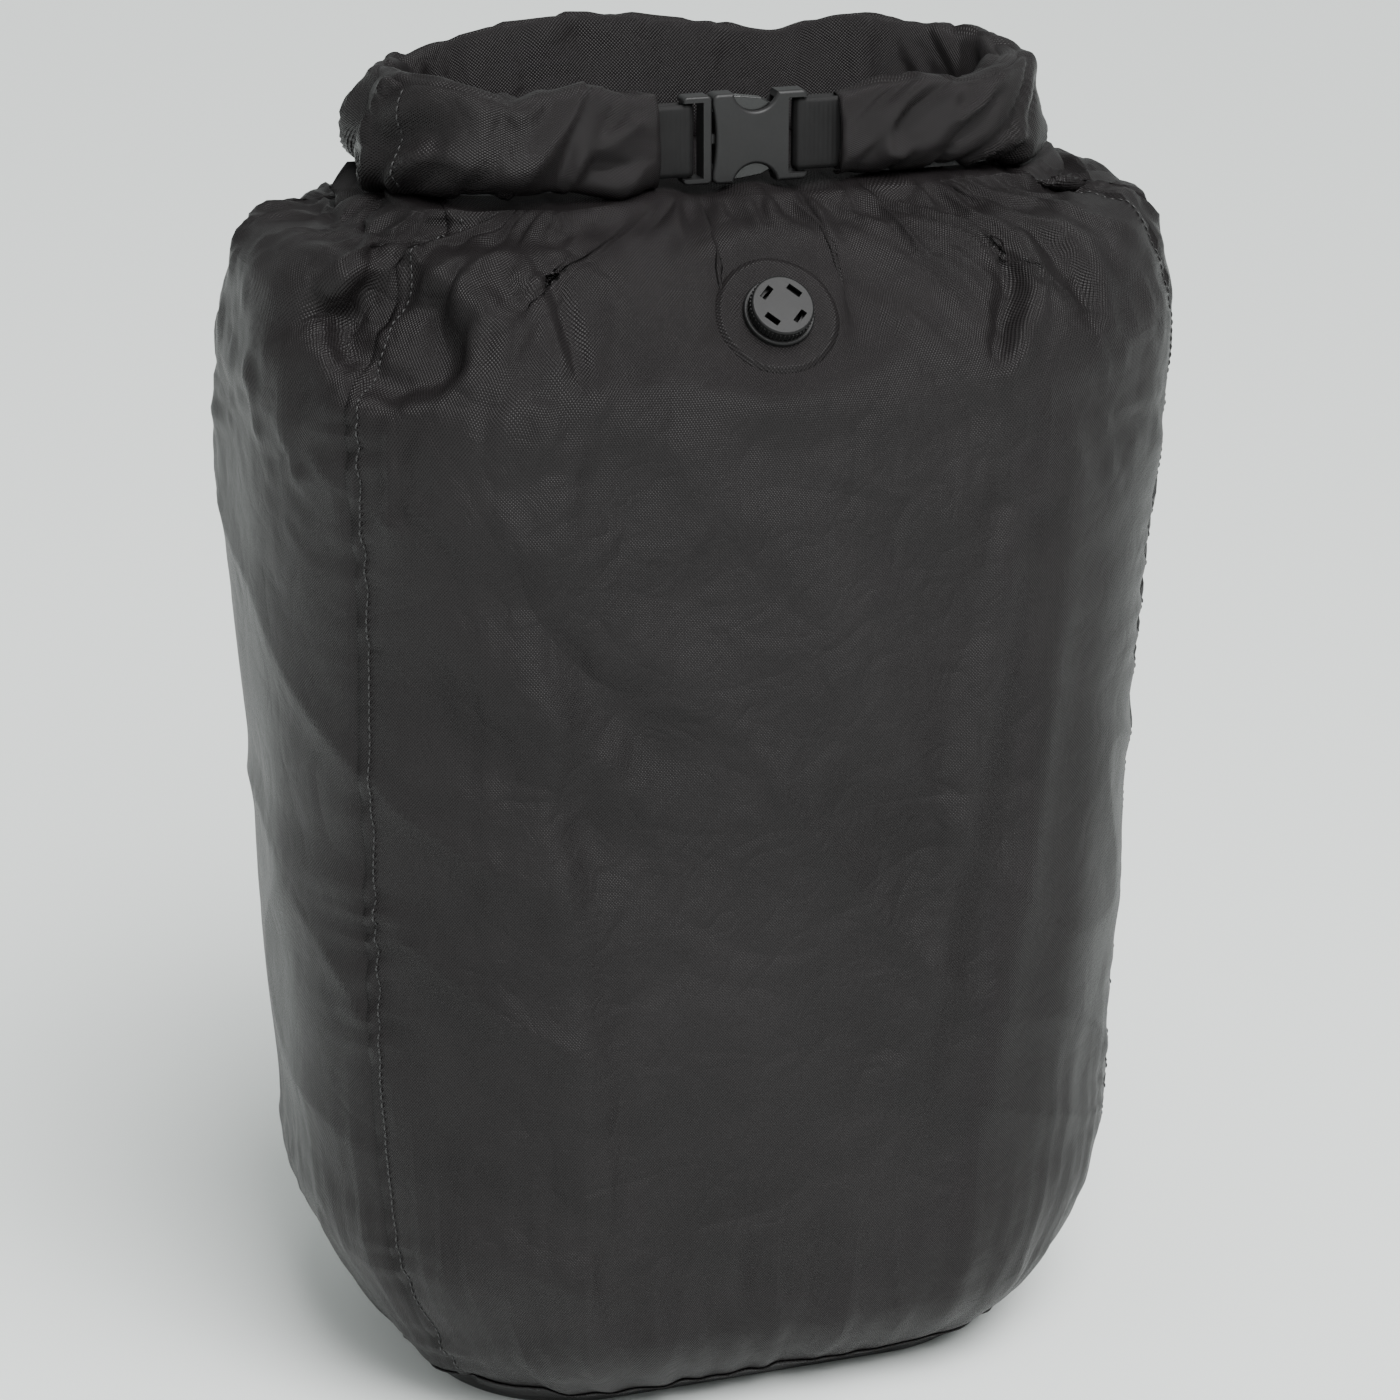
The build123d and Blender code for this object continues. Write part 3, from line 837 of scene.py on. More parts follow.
    def fold(self, skin: np.ndarray) -> np.ndarray:
        """Press the shoulder's large folds and the soft creases of the walls into the skin."""
        normal = grid_normals(skin, True)
        flat = skin.reshape(-1, 3)
        front = smooth_step(20 * MM, -30 * MM, flat[:, 1]) * smooth_step(444 * MM, 428 * MM, flat[:, 2])
        push = np.zeros(len(flat))
        for fold in SHOULDER_FOLDS:
            push += fold.push(flat) * front
        wall = smooth_step(40 * MM, 90 * MM, flat[:, 2]) * smooth_step(425 * MM, 380 * MM, flat[:, 2])
        slant = np.column_stack([flat[:, 0] + 0.9 * flat[:, 2], flat[:, 1], flat[:, 2] - 0.6 * flat[:, 0]])
        push += wall * 2.3 * MM * soft_noise(slant, (70 * MM, 90 * MM, 150 * MM), 4.4)
        push += wall * 1.7 * MM * crease(slant, (60 * MM, 120 * MM, 190 * MM), 9.1)
        low = smooth_step(110 * MM, 50 * MM, flat[:, 2]) * smooth_step(4 * MM, 16 * MM, flat[:, 2])
        around = np.arctan2(flat[:, 1], flat[:, 0]) * 150 * MM
        stripes = np.column_stack([around, flat[:, 2] * 0, flat[:, 2]])
        push += low * 1.6 * MM * soft_noise(stripes, (13 * MM, 1, 60 * MM), 6.3)
        push += low * 1.2 * MM * crease(stripes, (26 * MM, 1, 90 * MM), 2.7)
        return skin + normal * push.reshape(skin.shape[:2])[..., None]

    def seat_valve(self, skin: np.ndarray) -> np.ndarray:
        """Lay the cloth flat where the valve is clamped to it."""
        seat = ValveSeat()
        flat = skin.reshape(-1, 3)
        offset = flat - seat.centre
        height = offset @ seat.normal
        around = offset - height[:, None] * seat.normal
        radius = np.linalg.norm(around, axis=1)
        close = (radius < 60 * MM) & (flat[:, 1] < 0) & (np.abs(height) < 40 * MM)
        share = smooth_step(46 * MM, 23 * MM, radius) * close
        moved = flat + ((-1.5 * MM - height) * share)[:, None] * seat.normal
        return moved.reshape(skin.shape)

    def pucker(self, skin: np.ndarray) -> np.ndarray:
        """Draw the cloth up along the four stitched seams."""
        normal = grid_normals(skin, True)
        columns = skin.shape[1]
        spacing = np.linalg.norm(np.roll(skin, -1, 1) - skin, axis=2).mean(1)
        along = np.concatenate([[0], np.cumsum(np.linalg.norm(np.diff(skin[:, 0], axis=0), axis=1))])
        push = np.zeros(skin.shape[:2])
        number = np.arange(columns)
        for place, seam in enumerate(self.seams):
            away = (number - seam.column + columns // 2) % columns - columns // 2
            distance = away[None] * spacing[:, None]
            side = np.where(distance < 0, 0.0, 1.9)
            wander = 2.2 * np.sin(along * 61 + 2 * place)[:, None]
            wander = wander + 1.3 * np.sin(along * 143 + place)[:, None]
            wave = np.sin(along[:, None] / (15 * MM) * 2 * math.pi + wander + side)
            fade = np.exp(-np.abs(distance) / (11 * MM)) * (0.55 + 0.45 * np.sin(along * 37 + place))[:, None]
            valley = -1.3 * MM * np.exp(-((distance / (5 * MM)) ** 2))
            push += 1.25 * MM * wave * fade + valley
        calm = smooth_step(0, 15 * MM, skin[..., 2])
        return skin + normal * (push * calm)[..., None]

    def neck_lid(self, top_row: np.ndarray) -> np.ndarray:
        """Cloth that runs on inwards under the roll, so that the neck isn't open.

        Args:
            top_row: The mouth's edge.

        Returns:
            Rows of points from the edge to under the roll's back run.
        """
        rows = []
        far = top_row.copy()
        far[:, 0] = far[:, 0] * 0.93
        far[:, 1] = 22 * MM
        far[:, 2] += 6 * MM
        for share in np.linspace(0.06, 1, 12):
            row = top_row * (1 - share) + far * share
            ripple = np.sin(row[:, 0] / (9 * MM) + 2 * np.sin(row[:, 0] / (23 * MM)))
            row[:, 2] += 1.6 * MM * ripple * (1 - share)
            rows.append(row)
        return np.array(rows)

    def chart(self, rows: int, columns: int, first: int) -> np.ndarray:
        """Map of the weave over a patch of the grid, in metres."""
        u = (np.arange(columns) + first) * COLUMN_PITCH
        v = np.arange(rows) * self.row_step / 2
        return np.stack(np.meshgrid(u, v), axis=2).reshape(-1, 2)

    def patch(self, name: str, grid: np.ndarray, first: int, hole: bool = False) -> Piece:
        """One cut panel with its thickness.

        Args:
            name: Name of the piece.
            grid: Rows of points.
            first: Number of its first column, for the weave.
            hole: Whether the cloth under the valve is cut out.

        Returns:
            The panel.
        """
        rows, columns = grid.shape[:2]
        flat = grid.reshape(-1, 3)
        faces = grid_faces(rows, columns, False)
        if hole:
            seat = ValveSeat()
            away = np.linalg.norm(flat - seat.centre, axis=1)
            faces = [f for f in faces if min(away[list(f)]) > seat.hole_radius]
        panel = mesh_object(name, flat, faces, self.chart(rows, columns, first))
        if hole:
            edit_all(panel, bpy.ops.mesh.delete_loose)
        thicken(panel, CLOTH_WALL)
        dress(panel, SACK_CLOTH)
        return panel

    def panels(self, skin: np.ndarray) -> dict:
        """Cut the skin into the four walls, with the front and back lapped over the sides."""
        normal = grid_normals(skin, True)
        stops = [seam.column for seam in self.seams]
        total = skin.shape[1]
        spans = {
            "left_side_cloth": (stops[0], stops[1], "left_gusset"),
            "back_cloth": (stops[1], stops[2], "back_panel"),
            "right_side_cloth": (stops[2], stops[3], "right_gusset"),
            "front_cloth": (stops[3], stops[0] + total, "front_panel"),
        }
        pieces = {}
        for name, (first, last, node) in spans.items():
            lapped = node in ("front_panel", "back_panel")
            over = 1 if lapped else 0
            numbers = np.arange(first - over, last + over + 1)
            grid = skin[self.base_row :, numbers % total].copy()
            if lapped:
                edge = np.minimum(numbers - numbers[0], numbers[-1] - numbers)
                lift = 0.7 * MM * np.clip(1 - edge / 4, 0, 1)
                grid += normal[self.base_row :, numbers % total] * lift[None, :, None]
            piece = self.patch(name, grid, first, node == "front_panel")
            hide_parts(node)
            pieces[name] = piece
        return pieces

    def base(self, skin: np.ndarray) -> dict:
        """The base: the rounded edge below the walls and a slightly hollow floor panel."""
        normal = grid_normals(skin, True)
        edge = skin[: self.base_row + 2] + 0.0
        lift = 0.9 * MM * np.clip(1 - (self.base_row + 1 - np.arange(len(edge))) / 3, 0, 1)
        edge += normal[: len(edge)] * lift[:, None, None]
        foot = skin[0]
        rows = []
        for share in (0.02, 0.06, 0.14, 0.26, 0.42, 0.6, 0.78, 0.9):
            row = foot * (1 - share)
            ripple = 0.7 * MM * share * soft_noise(foot * 6 * share, 60 * MM, 5.0)
            row[:, 2] = 3 * MM * smooth_step(0, 0.5, share) + ripple
            rows.append(np.maximum(row, [-9, -9, 0]))
        grid = np.concatenate([np.array(rows)[::-1], edge])
        count, columns = grid.shape[:2]
        flat = np.vstack([grid.reshape(-1, 3), [0, 0, 3.2 * MM]])
        faces = grid_faces(count, columns, True)
        faces += [((i + 1) % columns, len(flat) - 1, i) for i in range(columns)]
        uvs = flat[:, :2].copy()
        piece = mesh_object("base_cloth", flat, faces, uvs)
        thicken(piece, CLOTH_WALL)
        dress(piece, SACK_CLOTH)
        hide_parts("base_panel")
        band = slice(max(self.base_row - 3, 0), self.base_row + 4)
        ring = skin[band] - normal[band] * BASE_TAPE_GAP
        tape = mesh_object(
            "base_tape",
            ring.reshape(-1, 3),
            grid_faces(len(ring), columns, True),
            self.chart(len(ring), columns, 0),
        )
        thicken(tape, TAPE_WALL)
        dress(tape, TAPE)
        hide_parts("base_seam_tape")
        return {"base_cloth": piece, "base_tape": tape}

    def tapes(self, skin: np.ndarray) -> dict:
        """Sealing tapes just inside the four corner seams."""
        normal = grid_normals(skin, True)
        pieces = {}
        for seam in self.seams:
            numbers = np.arange(seam.column - 4, seam.column + 5) % skin.shape[1]
            grid = (skin - normal * TAPE_GAP)[self.base_row + 2 : int(len(skin) * 0.76), numbers]
            name = f"{seam.name}_tape"
            tape = mesh_object(
                name, grid.reshape(-1, 3), grid_faces(*grid.shape[:2], False), self.chart(*grid.shape[:2], 0)
            )
            thicken(tape, TAPE_WALL)
            dress(tape, TAPE)
            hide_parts(f"{seam.name}_seam_tape")
            pieces[name] = tape
        return pieces

    def stitching(self, skin: np.ndarray) -> dict:
        """Lock stitches along the corner seams and round the base."""
        normal = grid_normals(skin, True)
        pieces = {}
        for seam in self.seams:
            inside = -1 if seam.hand * seam.side > 0 else 1
            column = (seam.column + inside) % skin.shape[1]
            line = skin[self.base_row + 1 :, column] + normal[self.base_row + 1 :, column] * 0.66 * MM
            name = f"{seam.name}_stitches"
            pieces[name] = stitch_line(name, line, normal[self.base_row + 1 :, column])
        row = self.base_row
        outwards = np.vstack([normal[row], normal[row, :1]])
        line = np.vstack([skin[row], skin[row, :1]]) + outwards * 0.5 * MM
        pieces["base_stitches"] = stitch_line("base_stitches", line, outwards)
        return pieces


def stitch_line(name: str, line: np.ndarray, normals: np.ndarray, pitch: float = 3 * MM) -> Piece:
    """Copy one short stitch along a line.

    Args:
        name: Name of the piece.
        line: Points of the seam.
        normals: The cloth's normal at each point.
        pitch: Distance from one stitch to the next.

    Returns:
        All the stitches as one piece.
    """
    rounds = ((-1.0, 0.12), (-0.72, 0.26), (0.0, 0.32), (0.72, 0.26), (1.0, 0.12))
    sides = 6
    length = 1.05 * MM
    along = np.concatenate([[0], np.cumsum(np.linalg.norm(np.diff(line, axis=0), axis=1))])
    places = np.arange(pitch, along[-1] - pitch, pitch)
    centres = np.stack([np.interp(places, along, line[:, k]) for k in range(3)], axis=1)
    ahead = np.stack([np.interp(places + pitch / 3, along, line[:, k]) for k in range(3)], axis=1) - centres
    ahead /= np.linalg.norm(ahead, axis=1)[:, None]
    out = np.stack([np.interp(places, along, normals[:, k]) for k in range(3)], axis=1)
    across = np.cross(ahead, out)
    across /= np.linalg.norm(across, axis=1)[:, None]
    out = np.cross(across, ahead)
    points = []
    faces = []
    for centre, t, n, b in zip(centres, ahead, out, across):
        start = len(points)
        for at, radius in rounds:
            dip = -0.22 * MM * at * at
            for k in range(sides):
                angle = 2 * math.pi * k / sides
                ring = (math.cos(angle) * b + math.sin(angle) * n) * radius * MM
                points.append(centre + t * at * length + n * dip + ring)
        for j in range(len(rounds) - 1):
            for k in range(sides):
                a, c = start + j * sides + k, start + j * sides + (k + 1) % sides
                faces.append((a, c, c + sides, a + sides))
        faces.append(tuple(start + k for k in reversed(range(sides))))
        faces.append(tuple(start + (len(rounds) - 1) * sides + k for k in range(sides)))
    piece = mesh_object(name, np.array(points), faces)
    face_outwards(piece)
    dress(piece, THREAD)
    return piece


@dataclass
class ValveSeat:
    """The plane on the shoulder that the air valve is clamped to."""

    slope: float = math.radians(40)
    drop: float = 26 * MM
    inset: float = 15 * MM
    hole_radius: float = 15 * MM

    @property
    def centre(self) -> np.ndarray:
        """Middle of the valve, on the cloth's outer face."""
        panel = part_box("front_panel")
        return np.array([0, panel[0].y + self.inset, panel[1].z - self.drop])

    @property
    def normal(self) -> np.ndarray:
        """Direction that the valve faces."""
        return np.array([0, -math.cos(self.slope), math.sin(self.slope)])

    def patch(self) -> Piece:
        """The cloth pressed up by the flange behind it, a flat disc with a soft rim."""
        up = np.cross([1.0, 0, 0], self.normal)
        rows = (
            (9.5, -0.1), (12, 0.0), (16, 0.02), (19.2, 0.02),
            (19.9, -0.12), (20.4, -0.5), (20.9, -1.15), (22.5, -1.9),
        )
        count = 96
        points = []
        for radius, height in rows:
            for k in range(count):
                angle = 2 * math.pi * k / count
                wobble = 1 + 0.006 * math.sin(3 * angle + 1) + 0.004 * math.sin(7 * angle)
                flat = (math.cos(angle) * np.array([1.0, 0, 0]) + math.sin(angle) * up) * radius * wobble * MM
                points.append(self.centre + flat + self.normal * height * MM)
        points = np.array(points)
        uvs = np.stack([points[:, 0], (points - self.centre) @ up], axis=1)
        piece = mesh_object("valve_patch", points, grid_faces(len(rows), count, True), uvs)
        face_outwards(piece)
        middle = piece.data.polygons[0]
        if np.dot(np.array(middle.normal), self.normal) < 0:
            piece.data.flip_normals()
        thicken(piece, 0.35 * MM)
        dress(piece, SACK_CLOTH)
        return piece


@dataclass(frozen=True)
class Fold:
    """One fold pressed into the front of the shoulder.

    Attributes:
        points: Its line, as pairs of x and z in millimetres.
        width: Half width of its valley, in millimetres.
        depth: Depth of its valley, in millimetres; below zero for a ridge.
        lip: Height of the ridge beside it, over the depth.
        lip_side: 1 or -1 for the side that the ridge is on.
    """

    points: tuple
    width: float
    depth: float
    lip: float = 0.45
    lip_side: int = 1

    def push(self, points: np.ndarray) -> np.ndarray:
        """How far the fold moves each point along the cloth's normal."""
        line = np.array(self.points, float) * MM
        at = points[:, [0, 2]]
        best = np.full(len(at), 9.0)
        signed = np.zeros(len(at))
        share = np.zeros(len(at))
        total = len(line) - 1
        for number in range(total):
            a, b = line[number], line[number + 1]
            d = b - a
            t = np.clip(((at - a) @ d) / (d @ d), 0, 1)
            foot = a + t[:, None] * d
            gap = at - foot
            distance = np.linalg.norm(gap, axis=1)
            closer = distance < best
            best = np.where(closer, distance, best)
            cross = d[0] * gap[:, 1] - d[1] * gap[:, 0]
            signed = np.where(closer, distance * np.sign(cross), signed)
            share = np.where(closer, (number + t) / total, share)
        fade = smooth_step(0, 0.12, share + 0.1) * smooth_step(1.02, 0.7, share)
        width = self.width * MM * (1.1 - 0.45 * share)
        valley = -self.depth * MM * np.exp(-((signed / width) ** 2))
        beside = (signed - self.lip_side * 2.0 * width) / (1.1 * width)
        lip = self.lip * self.depth * MM * np.exp(-(beside**2))
        return (valley + lip) * fade


SHOULDER_FOLDS = (
    Fold(((-114, 446), (-128, 434), (-138, 418), (-143, 401)), 5.5, 5.0, 0.5, -1),
    Fold(((-92, 446), (-89, 434), (-83, 424)), 4.5, 3.5, 0.6, 1),
    Fold(((-76, 444), (-73, 422), (-71, 398)), 4.5, 4.0, 0.6, -1),
    Fold(((80, 442), (86, 424), (79, 410), (71, 395)), 5.0, 5.0, 0.6, 1),
    Fold(((100, 440), (112, 420), (117, 402)), 5.0, 3.0, 0.5, 1),
    Fold(((-101, 331), (-75, 301), (-32, 258)), 13, 2.0, 0.6, 1),
    Fold(((-120, 290), (-92, 262), (-55, 225)), 12, 1.6, 0.6, 1),
    Fold(((60, 380), (80, 350), (110, 325)), 11, 1.6, 0.5, -1),
)


@dataclass
class RolledMouth:
    """The mouth of the sack, rolled flat and bent into a ring.

    The tables run along the roll from its left end, round the back, to its right end.
    """

    radius: float = 37 * MM
    end_left: float = -26 * MM
    end_right: float = 40 * MM
    turns: float = 2.2
    layer_gap: float = 2.3 * MM
    section_points: int = 150
    step: float = 2.1 * MM
    tops: tuple = (
        (0, 484.5), (14, 487), (24, 490.5), (46, 487.5), (70, 496.5), (106, 496), (138, 492),
        (164, 497), (180, 499.5), (201, 502), (223, 500), (250, 497), (268, 493.5), (281, 491),
        (291, 495), (312, 497), (340, 491), (376, 491), (405, 490.5), (434, 487), (460, 486.5),
        (474, 482),
    )
    bottoms: tuple = (
        (0, 452.5), (24, 453), (48, 454), (90, 452), (164, 447), (318, 447), (390, 451), (434, 453),
        (474, 453),
    )
    thicknesses: tuple = (
        (0, 15), (14, 19), (30, 23), (48, 25), (106, 25), (164, 24), (241, 22), (318, 24), (376, 25),
        (434, 24), (474, 18),
    )
    thinning: tuple = (
        (0, 0.1), (48, 0.15), (120, 0.35), (180, 0.62), (300, 0.62), (370, 0.3), (434, 0.12),
        (474, 0.1),
    )

    def centre_line(self) -> tuple:
        """Points along the middle of the roll, the outward direction at each and the distance along."""
        low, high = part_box("rolled_mouth")
        middle = (low + high) / 2
        half = (high.y - low.y) / 2
        front, back = middle.y - self.radius, middle.y + self.radius
        left = low.x + half
        right = high.x - half
        bend = math.pi * self.radius
        lengths = (self.end_left - left, bend, right - left, bend, right - self.end_right)
        total = sum(lengths)
        along = np.linspace(0, total, int(total / self.step) + 1)
        a, b, c, d, _ = np.cumsum(lengths)
        points, outward = [], []
        for s in along:
            if s <= a:
                points.append((self.end_left - s, front))
                outward.append((0, -1))
            elif s <= b:
                angle = (s - a) / self.radius
                outward.append((-math.sin(angle), -math.cos(angle)))
                points.append((left + self.radius * outward[-1][0], middle.y + self.radius * outward[-1][1]))
            elif s <= c:
                points.append((left + s - b, back))
                outward.append((0, 1))
            elif s <= d:
                angle = (s - c) / self.radius
                outward.append((math.sin(angle), math.cos(angle)))
                points.append((right + self.radius * outward[-1][0], middle.y + self.radius * outward[-1][1]))
            else:
                points.append((right - (s - d), front))
                outward.append((0, -1))
        return np.array(points), np.array(outward), along

    @staticmethod
    def table(rows: tuple, at: np.ndarray) -> np.ndarray:
        """Values of a table at distances along the roll, rounded between its entries."""
        places, values = np.array(rows, float).T
        offsets = np.linspace(-5, 5, 7)
        return np.mean([np.interp(at / MM + o, places, values) for o in offsets], axis=0)

    def surface(self) -> np.ndarray:
        """The rolled cloth as one row of points for each place along the roll."""
        centres, outward, along = self.centre_line()
        top, bottom = self.table(self.tops, along) * MM, self.table(self.bottoms, along) * MM
        thick, thin = self.table(self.thicknesses, along) * MM, self.table(self.thinning, along)
        turn = np.linspace(0, self.turns, self.section_points)
        angle = (-0.27 + turn) * 2 * math.pi
        power = 2 / 2.5
        u = np.sign(np.cos(angle)) * np.abs(np.cos(angle)) ** power
        v = np.sign(np.sin(angle)) * np.abs(np.sin(angle)) ** power
        tight = 0.3 + 0.7 * smooth_step(8, 42, along / MM)
        inset = turn[None] * self.layer_gap * (tight * thick / (25 * MM))[:, None]
        half_height = (top - bottom)[:, None] / 2 - inset
        half_width = thick[:, None] / 2 - inset
        rise = v[None] * half_height
        lean = 1 - thin[:, None] * smooth_step(-0.6, 1.0, v)[None]
        across = u[None] * np.maximum(half_width, 2.2 * MM) * lean
        left_open = smooth_step(40, 62, along / MM) * smooth_step(122, 96, along / MM)
        right_open = smooth_step(366, 384, along / MM) * smooth_step(438, 420, along / MM)
        mouth = np.exp(-((u / 0.5) ** 2)) * (v > 0) * (turn < 1)
        rise -= (left_open * 8 * MM + right_open * 5 * MM)[:, None] * mouth[None]
        push = self.creases(along, turn, rise, across)
        flatness = across / (thick[:, None] / 2) ** 2
        upward = rise / ((top - bottom)[:, None] / 2) ** 2
        reach = np.hypot(flatness, upward) + 1e-9
        across = across + push * flatness / reach
        rise = rise + push * upward / reach * 0.7
        sway = 1.6 * MM * np.sin(along / (31 * MM)) * smooth_step(20, 50, along / MM)
        middle = (top + bottom) / 2
        grid = np.empty(rise.shape + (3,))
        swayed = across + sway[:, None] * (v > 0) * v
        for axis in (0, 1):
            grid[..., axis] = centres[:, None, axis] + outward[:, None, axis] * swayed
        grid[..., 2] = middle[:, None] + rise
        return grid

    def creases(
        self, along: np.ndarray, turn: np.ndarray, rise: np.ndarray, across: np.ndarray
    ) -> np.ndarray:
        """Folds of the rolled cloth: slanting on the arms, upright on the back run.

        Args:
            along: Distance along the roll.
            turn: Turns of the spiral at each point of a section.
            rise: Height of each point above the roll's middle.
            across: Distance of each point from the roll's middle, outwards.

        Returns:
            How far each point moves out of the roll.
        """
        shape = rise.shape
        s = np.broadcast_to(along[:, None], shape)
        side = np.sign(across) * 0.3
        slant = np.column_stack([(s + 0.8 * rise).ravel(), (rise - 0.45 * s).ravel(), side.ravel()])
        upright = np.column_stack([s.ravel(), rise.ravel(), side.ravel()])
        on_back = (smooth_step(130, 165, along / MM) * smooth_step(350, 318, along / MM))[:, None]
        arms = 4.6 * MM * crease(slant, (26 * MM, 40 * MM, 1), 1.3)
        arms = arms + 2.6 * MM * soft_noise(slant, (17 * MM, 30 * MM, 1), 8.2)
        arms = arms - 3.2 * MM * crease(slant, (15 * MM, 34 * MM, 1), 6.6)
        back = 3.3 * MM * soft_noise(upright, (24 * MM, 110 * MM, 1), 5.1)
        back = back - 2.4 * MM * crease(upright, (19 * MM, 90 * MM, 1), 7.9)
        back = back + 2.8 * MM * crease(upright, (30 * MM, 120 * MM, 1), 3.6)
        arms, back = arms.reshape(shape), back.reshape(shape)
        ends = (smooth_step(0, 14, along / MM) * smooth_step(474, 460, along / MM) * 0.8 + 0.2)[:, None]
        inner = np.clip(1.25 - turn, 0.25, 1)[None]
        return (arms * (1 - on_back) + back * on_back) * ends * inner

    def build(self) -> dict:
        """Make the roll and the stitches of the side seam that shows on it."""
        grid = self.surface()
        rows, columns = grid.shape[:2]
        _, _, along = self.centre_line()
        wrap = np.concatenate([[0], np.cumsum(np.linalg.norm(np.diff(grid[rows // 2], axis=0), axis=1))])
        uvs = np.stack(np.meshgrid(wrap, along)[::-1], axis=2).reshape(-1, 2)
        faces = [tuple(reversed(f)) for f in grid_faces(rows, columns, False)]
        roll = mesh_object("roll_cloth", grid.reshape(-1, 3), faces, uvs)
        thicken(roll, CLOTH_WALL)
        dress(roll, SACK_CLOTH)
        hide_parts("rolled_mouth")
        row = int(np.argmin(np.abs(along - 84 * MM)))
        once = columns / self.turns
        part = slice(int(once * 0.12), int(once * 0.45))
        normal = -grid_normals(grid, False)
        line = grid[row, part] + normal[row, part] * 0.15 * MM
        stitches = stitch_line("roll_stitches", line, normal[row, part])
        return {"roll_cloth": roll, "roll_stitches": stitches}


@dataclass
class WebbingTab:
    """A strip of ribbed webbing looped round a bar of the buckle."""

    name: str
    node: str
    bar_x: float
    away: int
    thickness: float = 1.4 * MM
    rib: float = 1.7 * MM
    rib_depth: float = 0.16 * MM

    def build(self) -> Piece:
        """Make the strip, with its ribs and thinner edges."""
        low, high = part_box(self.node)
        bar_y = (low.y + high.y) / 2
        reach = (high.y - low.y - self.thickness) / 2
        tail = low.x if self.away < 0 else high.x
        straight = abs(tail - self.bar_x)
        bend = math.pi * reach
        total = 2 * straight + bend
        count = int(total / self.rib * 5)
        half_height = (high.z - low.z) / 2
        middle = (high.z + low.z) / 2
        outline = [(z * face, face) for face in (1.0, -1.0) for z in np.linspace(-1, 1, 15)]
        points, uvs = [], []
        for s in np.linspace(0, total, count):
            if s < straight:
                x, y, nx, ny = tail + (s / straight) * (self.bar_x - tail), bar_y - reach, 0.0, -1.0
            elif s < straight + bend:
                turn = (s - straight) / reach
                nx, ny = -self.away * math.sin(turn), -math.cos(turn)
                x, y = self.bar_x + nx * reach, bar_y + ny * reach
            else:
                x = self.bar_x + (s - straight - bend) / straight * (tail - self.bar_x)
                y, nx, ny = bar_y + reach, 0.0, 1.0
            groove = 1 - abs(math.sin(math.pi * s / self.rib)) ** 0.6
            for z, face in outline:
                edge = abs(z) > 0.97
                half = self.thickness / 2 * (0.55 if edge else 1.0)
                half -= 0 if edge else self.rib_depth * groove * (0.5 if abs(z) > 0.86 else 1)
                points.append((x + nx * half * face, y + ny * half * face, middle + z * half_height))
                uvs.append((s, z * half_height))
        columns = len(outline)
        faces = grid_faces(count, columns, True)
        faces.append(tuple(range(columns)))
        faces.append(tuple(reversed(range((count - 1) * columns, count * columns))))
        piece = mesh_object(self.name, np.array(points), faces, np.array(uvs))
        face_outwards(piece)
        dress(piece, WEBBING)
        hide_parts(self.node)
        return piece


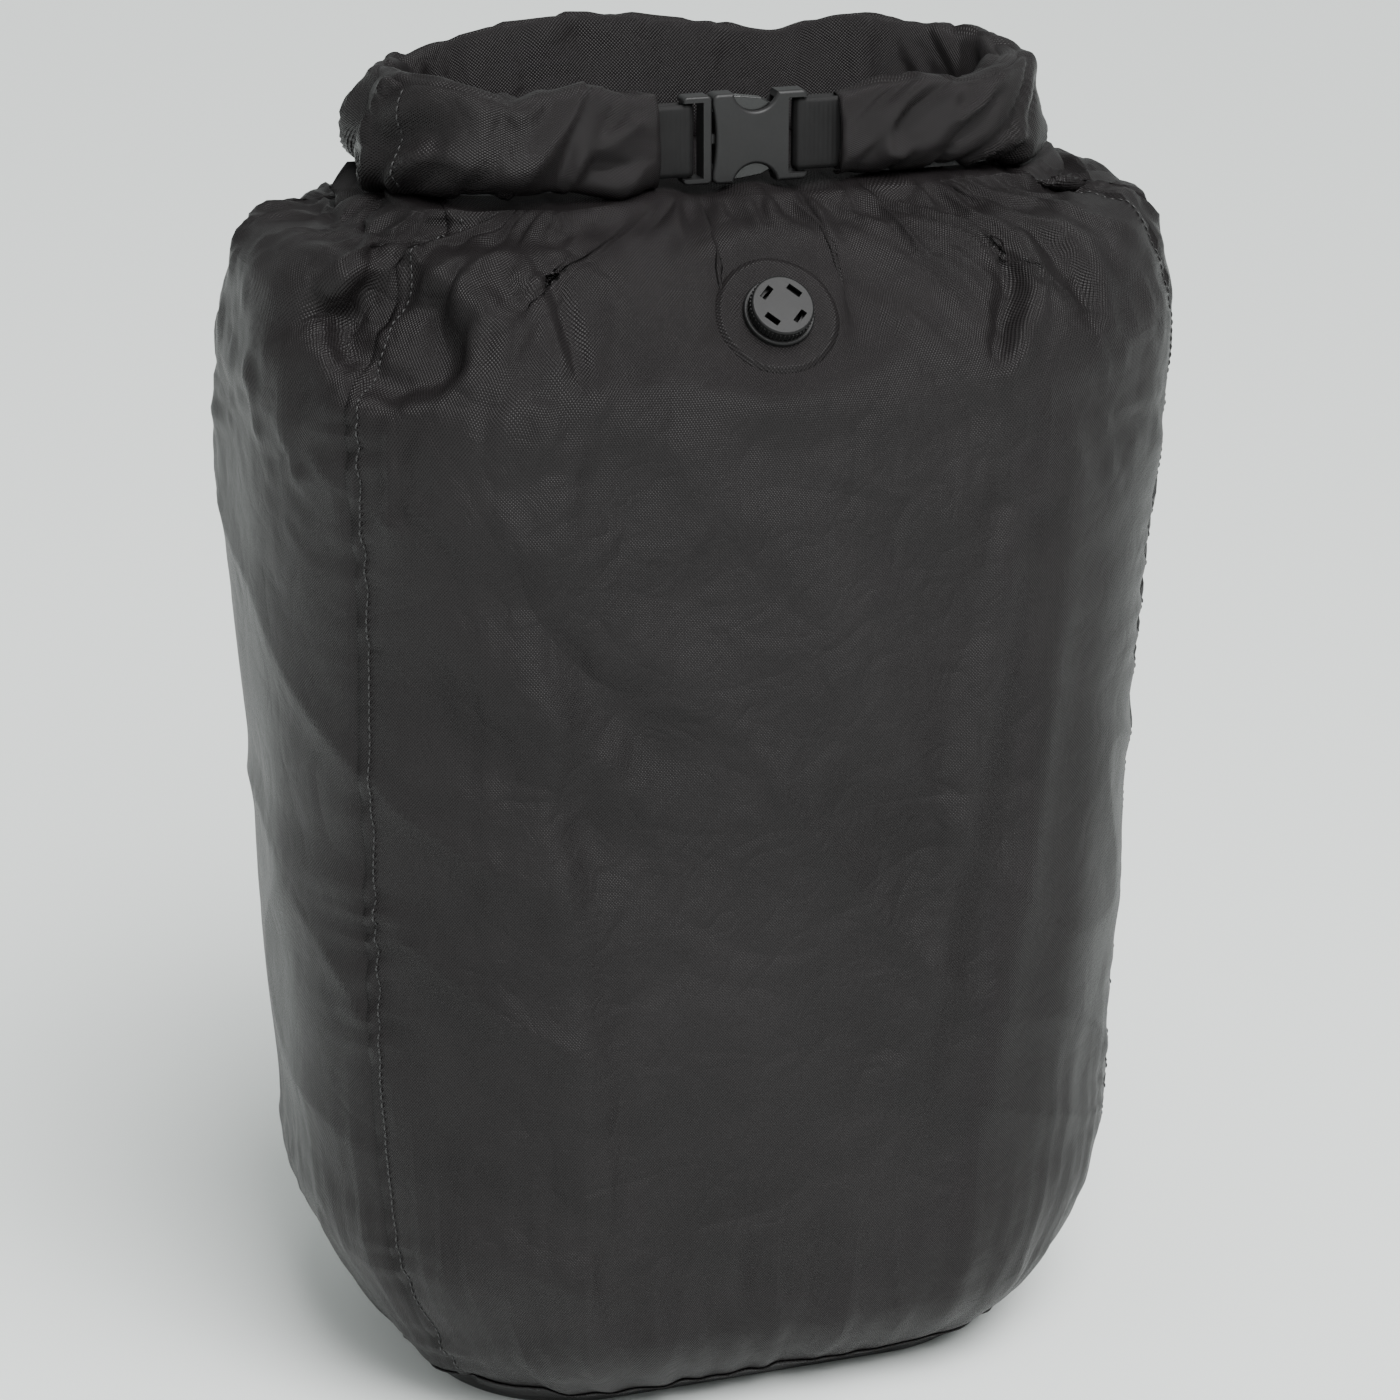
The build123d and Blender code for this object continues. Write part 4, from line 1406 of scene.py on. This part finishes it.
@dataclass
class Studio:
    """Pale floor, soft lights and the camera."""

    azimuth: float = math.radians(18)
    elevation: float = math.radians(19.84)
    distance: float = 1.406
    target: tuple = (0.0026, -0.005, 0.2488)
    lens: float = 96.7
    floor_tone: tuple = (0.93, 0.965, 0.948)
    world_strength: float = 0.5
    sun_strength: float = 2.9

    def build(self) -> None:
        """Make the floor, the lights and the camera."""
        deselect_all()
        bpy.ops.mesh.primitive_plane_add(size=24, location=(0, 0, 0))
        floor = bpy.context.object
        floor.name = "studio_floor"
        tone = bpy.data.materials.new("studio_paper")
        tone.use_nodes = True
        shader = tone.node_tree.nodes["Principled BSDF"]
        shader.inputs["Base Color"].default_value = (*self.floor_tone, 1)
        shader.inputs["Roughness"].default_value = 0.95
        shader.inputs["Specular IOR Level"].default_value = 0.1
        floor.data.materials.append(tone)
        world = bpy.data.worlds.new("studio_light")
        bpy.context.scene.world = world
        world.use_nodes = True
        sky = world.node_tree.nodes["Background"]
        sky.inputs["Color"].default_value = (0.95, 1.0, 0.985, 1)
        sky.inputs["Strength"].default_value = self.world_strength
        for name, place, energy, size in (
            ("key_light", (0.2, -1.5, 1.9), 46, 1.3),
            ("side_light", (-1.7, -0.5, 1.2), 4, 1.2),
        ):
            light = bpy.data.lights.new(name, "AREA")
            light.energy, light.size = energy, size
            self.stand(name, light, Vector(place), Vector((0, 0, 0.25)) - Vector(place))
        sun = bpy.data.lights.new("soft_sun", "SUN")
        sun.energy, sun.angle = self.sun_strength, math.radians(40)
        self.stand("soft_sun", sun, Vector(), Vector((-0.15, 0.5, -1)))
        level = math.cos(self.elevation)
        back = Vector(
            (-math.sin(self.azimuth) * level, -math.cos(self.azimuth) * level, math.sin(self.elevation))
        )
        lens = bpy.data.cameras.new("camera")
        lens.sensor_width, lens.lens = 36, self.lens
        camera = self.stand("camera", lens, Vector(self.target) + back * self.distance, -back)
        bpy.context.scene.camera = camera

    @staticmethod
    def stand(name: str, data: bpy.types.ID, place: Vector, aim: Vector) -> Piece:
        """Put a light or the camera in its place, turned to look along a direction."""
        obj = bpy.data.objects.new(name, data)
        bpy.context.scene.collection.objects.link(obj)
        obj.location = place
        obj.rotation_mode = "QUATERNION"
        obj.rotation_quaternion = aim.to_track_quat("-Z", "Y")
        return obj


BAR_REACH = 3.05 * MM  # from a tab's end to the middle of the bar it loops round


def crumple(piece: Piece) -> None:
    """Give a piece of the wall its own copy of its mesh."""
    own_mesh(piece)


def area_of(piece: Piece) -> float:
    """Area of all the piece's faces."""
    return sum(face.area for face in piece.data.polygons)


def main() -> None:
    """Build the sack, piece by piece."""
    logging.basicConfig(level=logging.INFO, format="%(name)s: %(message)s")
    Studio().build()
    pieces = SackBody().build()
    wall_pieces = set(pieces)
    for name, piece in pieces.items():
        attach(piece, "sack")
    roll = RolledMouth().build()
    for name, piece in roll.items():
        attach(piece, "top")
    pieces.update(roll)
    patch = ValveSeat().patch()
    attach(patch, "valve_base")
    pieces[patch.name] = patch
    left_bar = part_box("left_webbing_tab")[1].x - BAR_REACH
    right_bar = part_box("right_webbing_tab")[0].x + BAR_REACH
    left = WebbingTab("left_webbing", "left_webbing_tab", left_bar, -1).build()
    right = WebbingTab("right_webbing", "right_webbing_tab", right_bar, 1).build()
    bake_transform(left)
    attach(right, "top")
    for piece in (left, right):
        pieces[piece.name] = piece
    for name, finish in NODE_FINISHES.items():
        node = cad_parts[name]
        for slot in node.material_slots:
            slot.material = finish.material()
    for name, piece in pieces.items():
        LOG.info("%s: %d faces, %.4f m2", name, len(piece.data.polygons), area_of(piece))
        if name in wall_pieces:
            crumple(piece)


if __name__ == "__main__":
    main()
